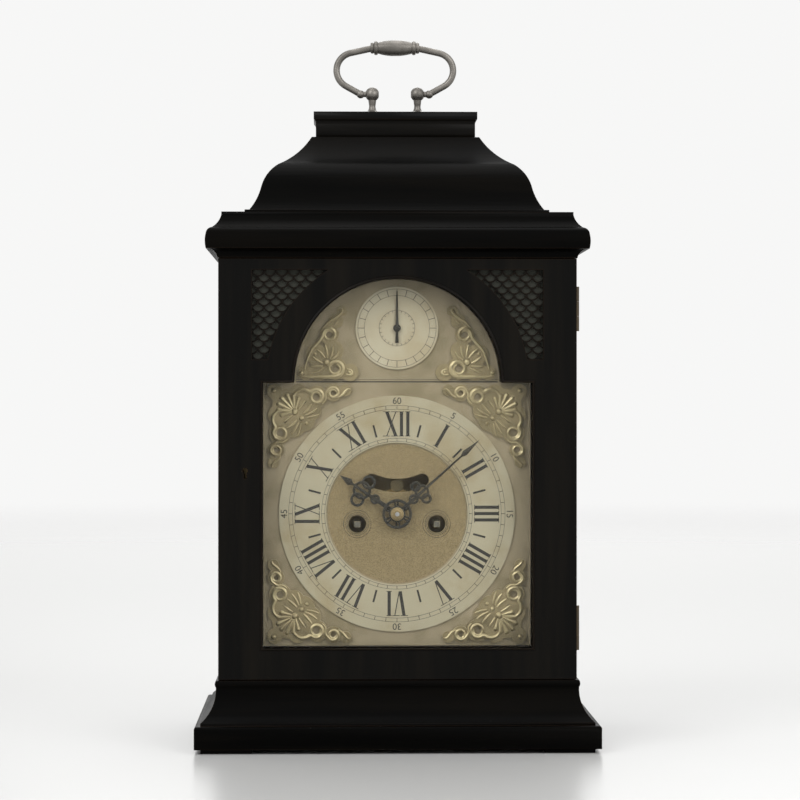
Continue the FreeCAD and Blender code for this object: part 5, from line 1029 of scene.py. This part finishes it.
stage = {
    "floorSize": 16.0, "fadeFrom": 0.9, "fadeTo": 4.5, "floorColour": rgb(0.74, 0.74, 0.73),
    "floorRoughness": 0.25, "floorIor": 1.35, "background": rgb(0.93, 0.93, 0.925), "ambient": 0.30,
    "lampsAim": (0, 0, 0.22),
}
bpy.ops.mesh.primitive_plane_add(size=stage["floorSize"])
floor = bpy.context.object
floor.name = "floor"
pale = Finish("pale_floor", Roughness=stage["floorRoughness"], IOR=stage["floorIor"])
x, y, _ = pale.axes()
distance = (x * x + y * y) ** 0.5
pale.feed(Base_Color=stage["floorColour"], Alpha=1 - distance.between(stage["fadeFrom"], stage["fadeTo"]))
floor.data.materials.append(pale.material)

world = bpy.data.worlds.new("studio")
bpy.context.scene.world = world
world.use_nodes = True
tree = world.node_tree
path = tree.nodes.new("ShaderNodeLightPath")
seen = tree.nodes.new("ShaderNodeBackground")
seen.inputs[0].default_value = stage["background"]
light = tree.nodes["Background"]
light.inputs[0].default_value = rgb(1, 1, 1)
light.inputs[1].default_value = stage["ambient"]
direct = path.outputs["Is Camera Ray"]
for ray in ("Is Glossy Ray", "Is Transmission Ray"):  # metal and glass see the background as the eye does
    total = tree.nodes.new("ShaderNodeMath")
    total.operation = "ADD"
    total.use_clamp = True
    tree.links.new(path.outputs[ray], total.inputs[0])
    tree.links.new(direct, total.inputs[1])
    direct = total.outputs[0]
choice = tree.nodes.new("ShaderNodeMixShader")
tree.links.new(direct, choice.inputs[0])
tree.links.new(light.outputs[0], choice.inputs[1])
tree.links.new(seen.outputs[0], choice.inputs[2])
tree.links.new(choice.outputs[0], tree.nodes["World Output"].inputs[0])

lamps = {  # place and size in metres, power in watts
    "key_lamp": ((-1.9, -2.3, 2.3), 2.0, 52),
    "fill_lamp": ((1.9, -2.3, 1.7), 2.0, 36),
    "top_lamp": ((0.0, 0.2, 3.0), 2.4, 34),
    "rear_lamp": ((0.3, 2.8, 1.9), 2.0, 34),
}
for name, (place, size, watts) in lamps.items():
    data = bpy.data.lights.new(name, "AREA")
    data.size = size
    data.energy = watts
    lamp = bpy.data.objects.new(name, data)
    bpy.context.scene.collection.objects.link(lamp)
    lamp.location = place
    lamp.rotation_euler = (Vector(stage["lampsAim"]) - lamp.location).to_track_quat("-Z", "Y").to_euler()

view = {"place": (-0.043, -1.885, 0.235), "aim": (0.0015, -0.085, 0.235), "lens": 121.1, "sensor": 36.0}
camera = bpy.data.objects.new("camera", bpy.data.cameras.new("camera"))
bpy.context.scene.collection.objects.link(camera)
camera.location = view["place"]
camera.rotation_euler = (Vector(view["aim"]) - camera.location).to_track_quat("-Z", "Y").to_euler()
camera.data.lens = view["lens"]
camera.data.sensor_width = view["sensor"]
bpy.context.scene.camera = camera
bpy.context.scene.view_settings.view_transform = "Standard"
print("stage, lamps and camera set")
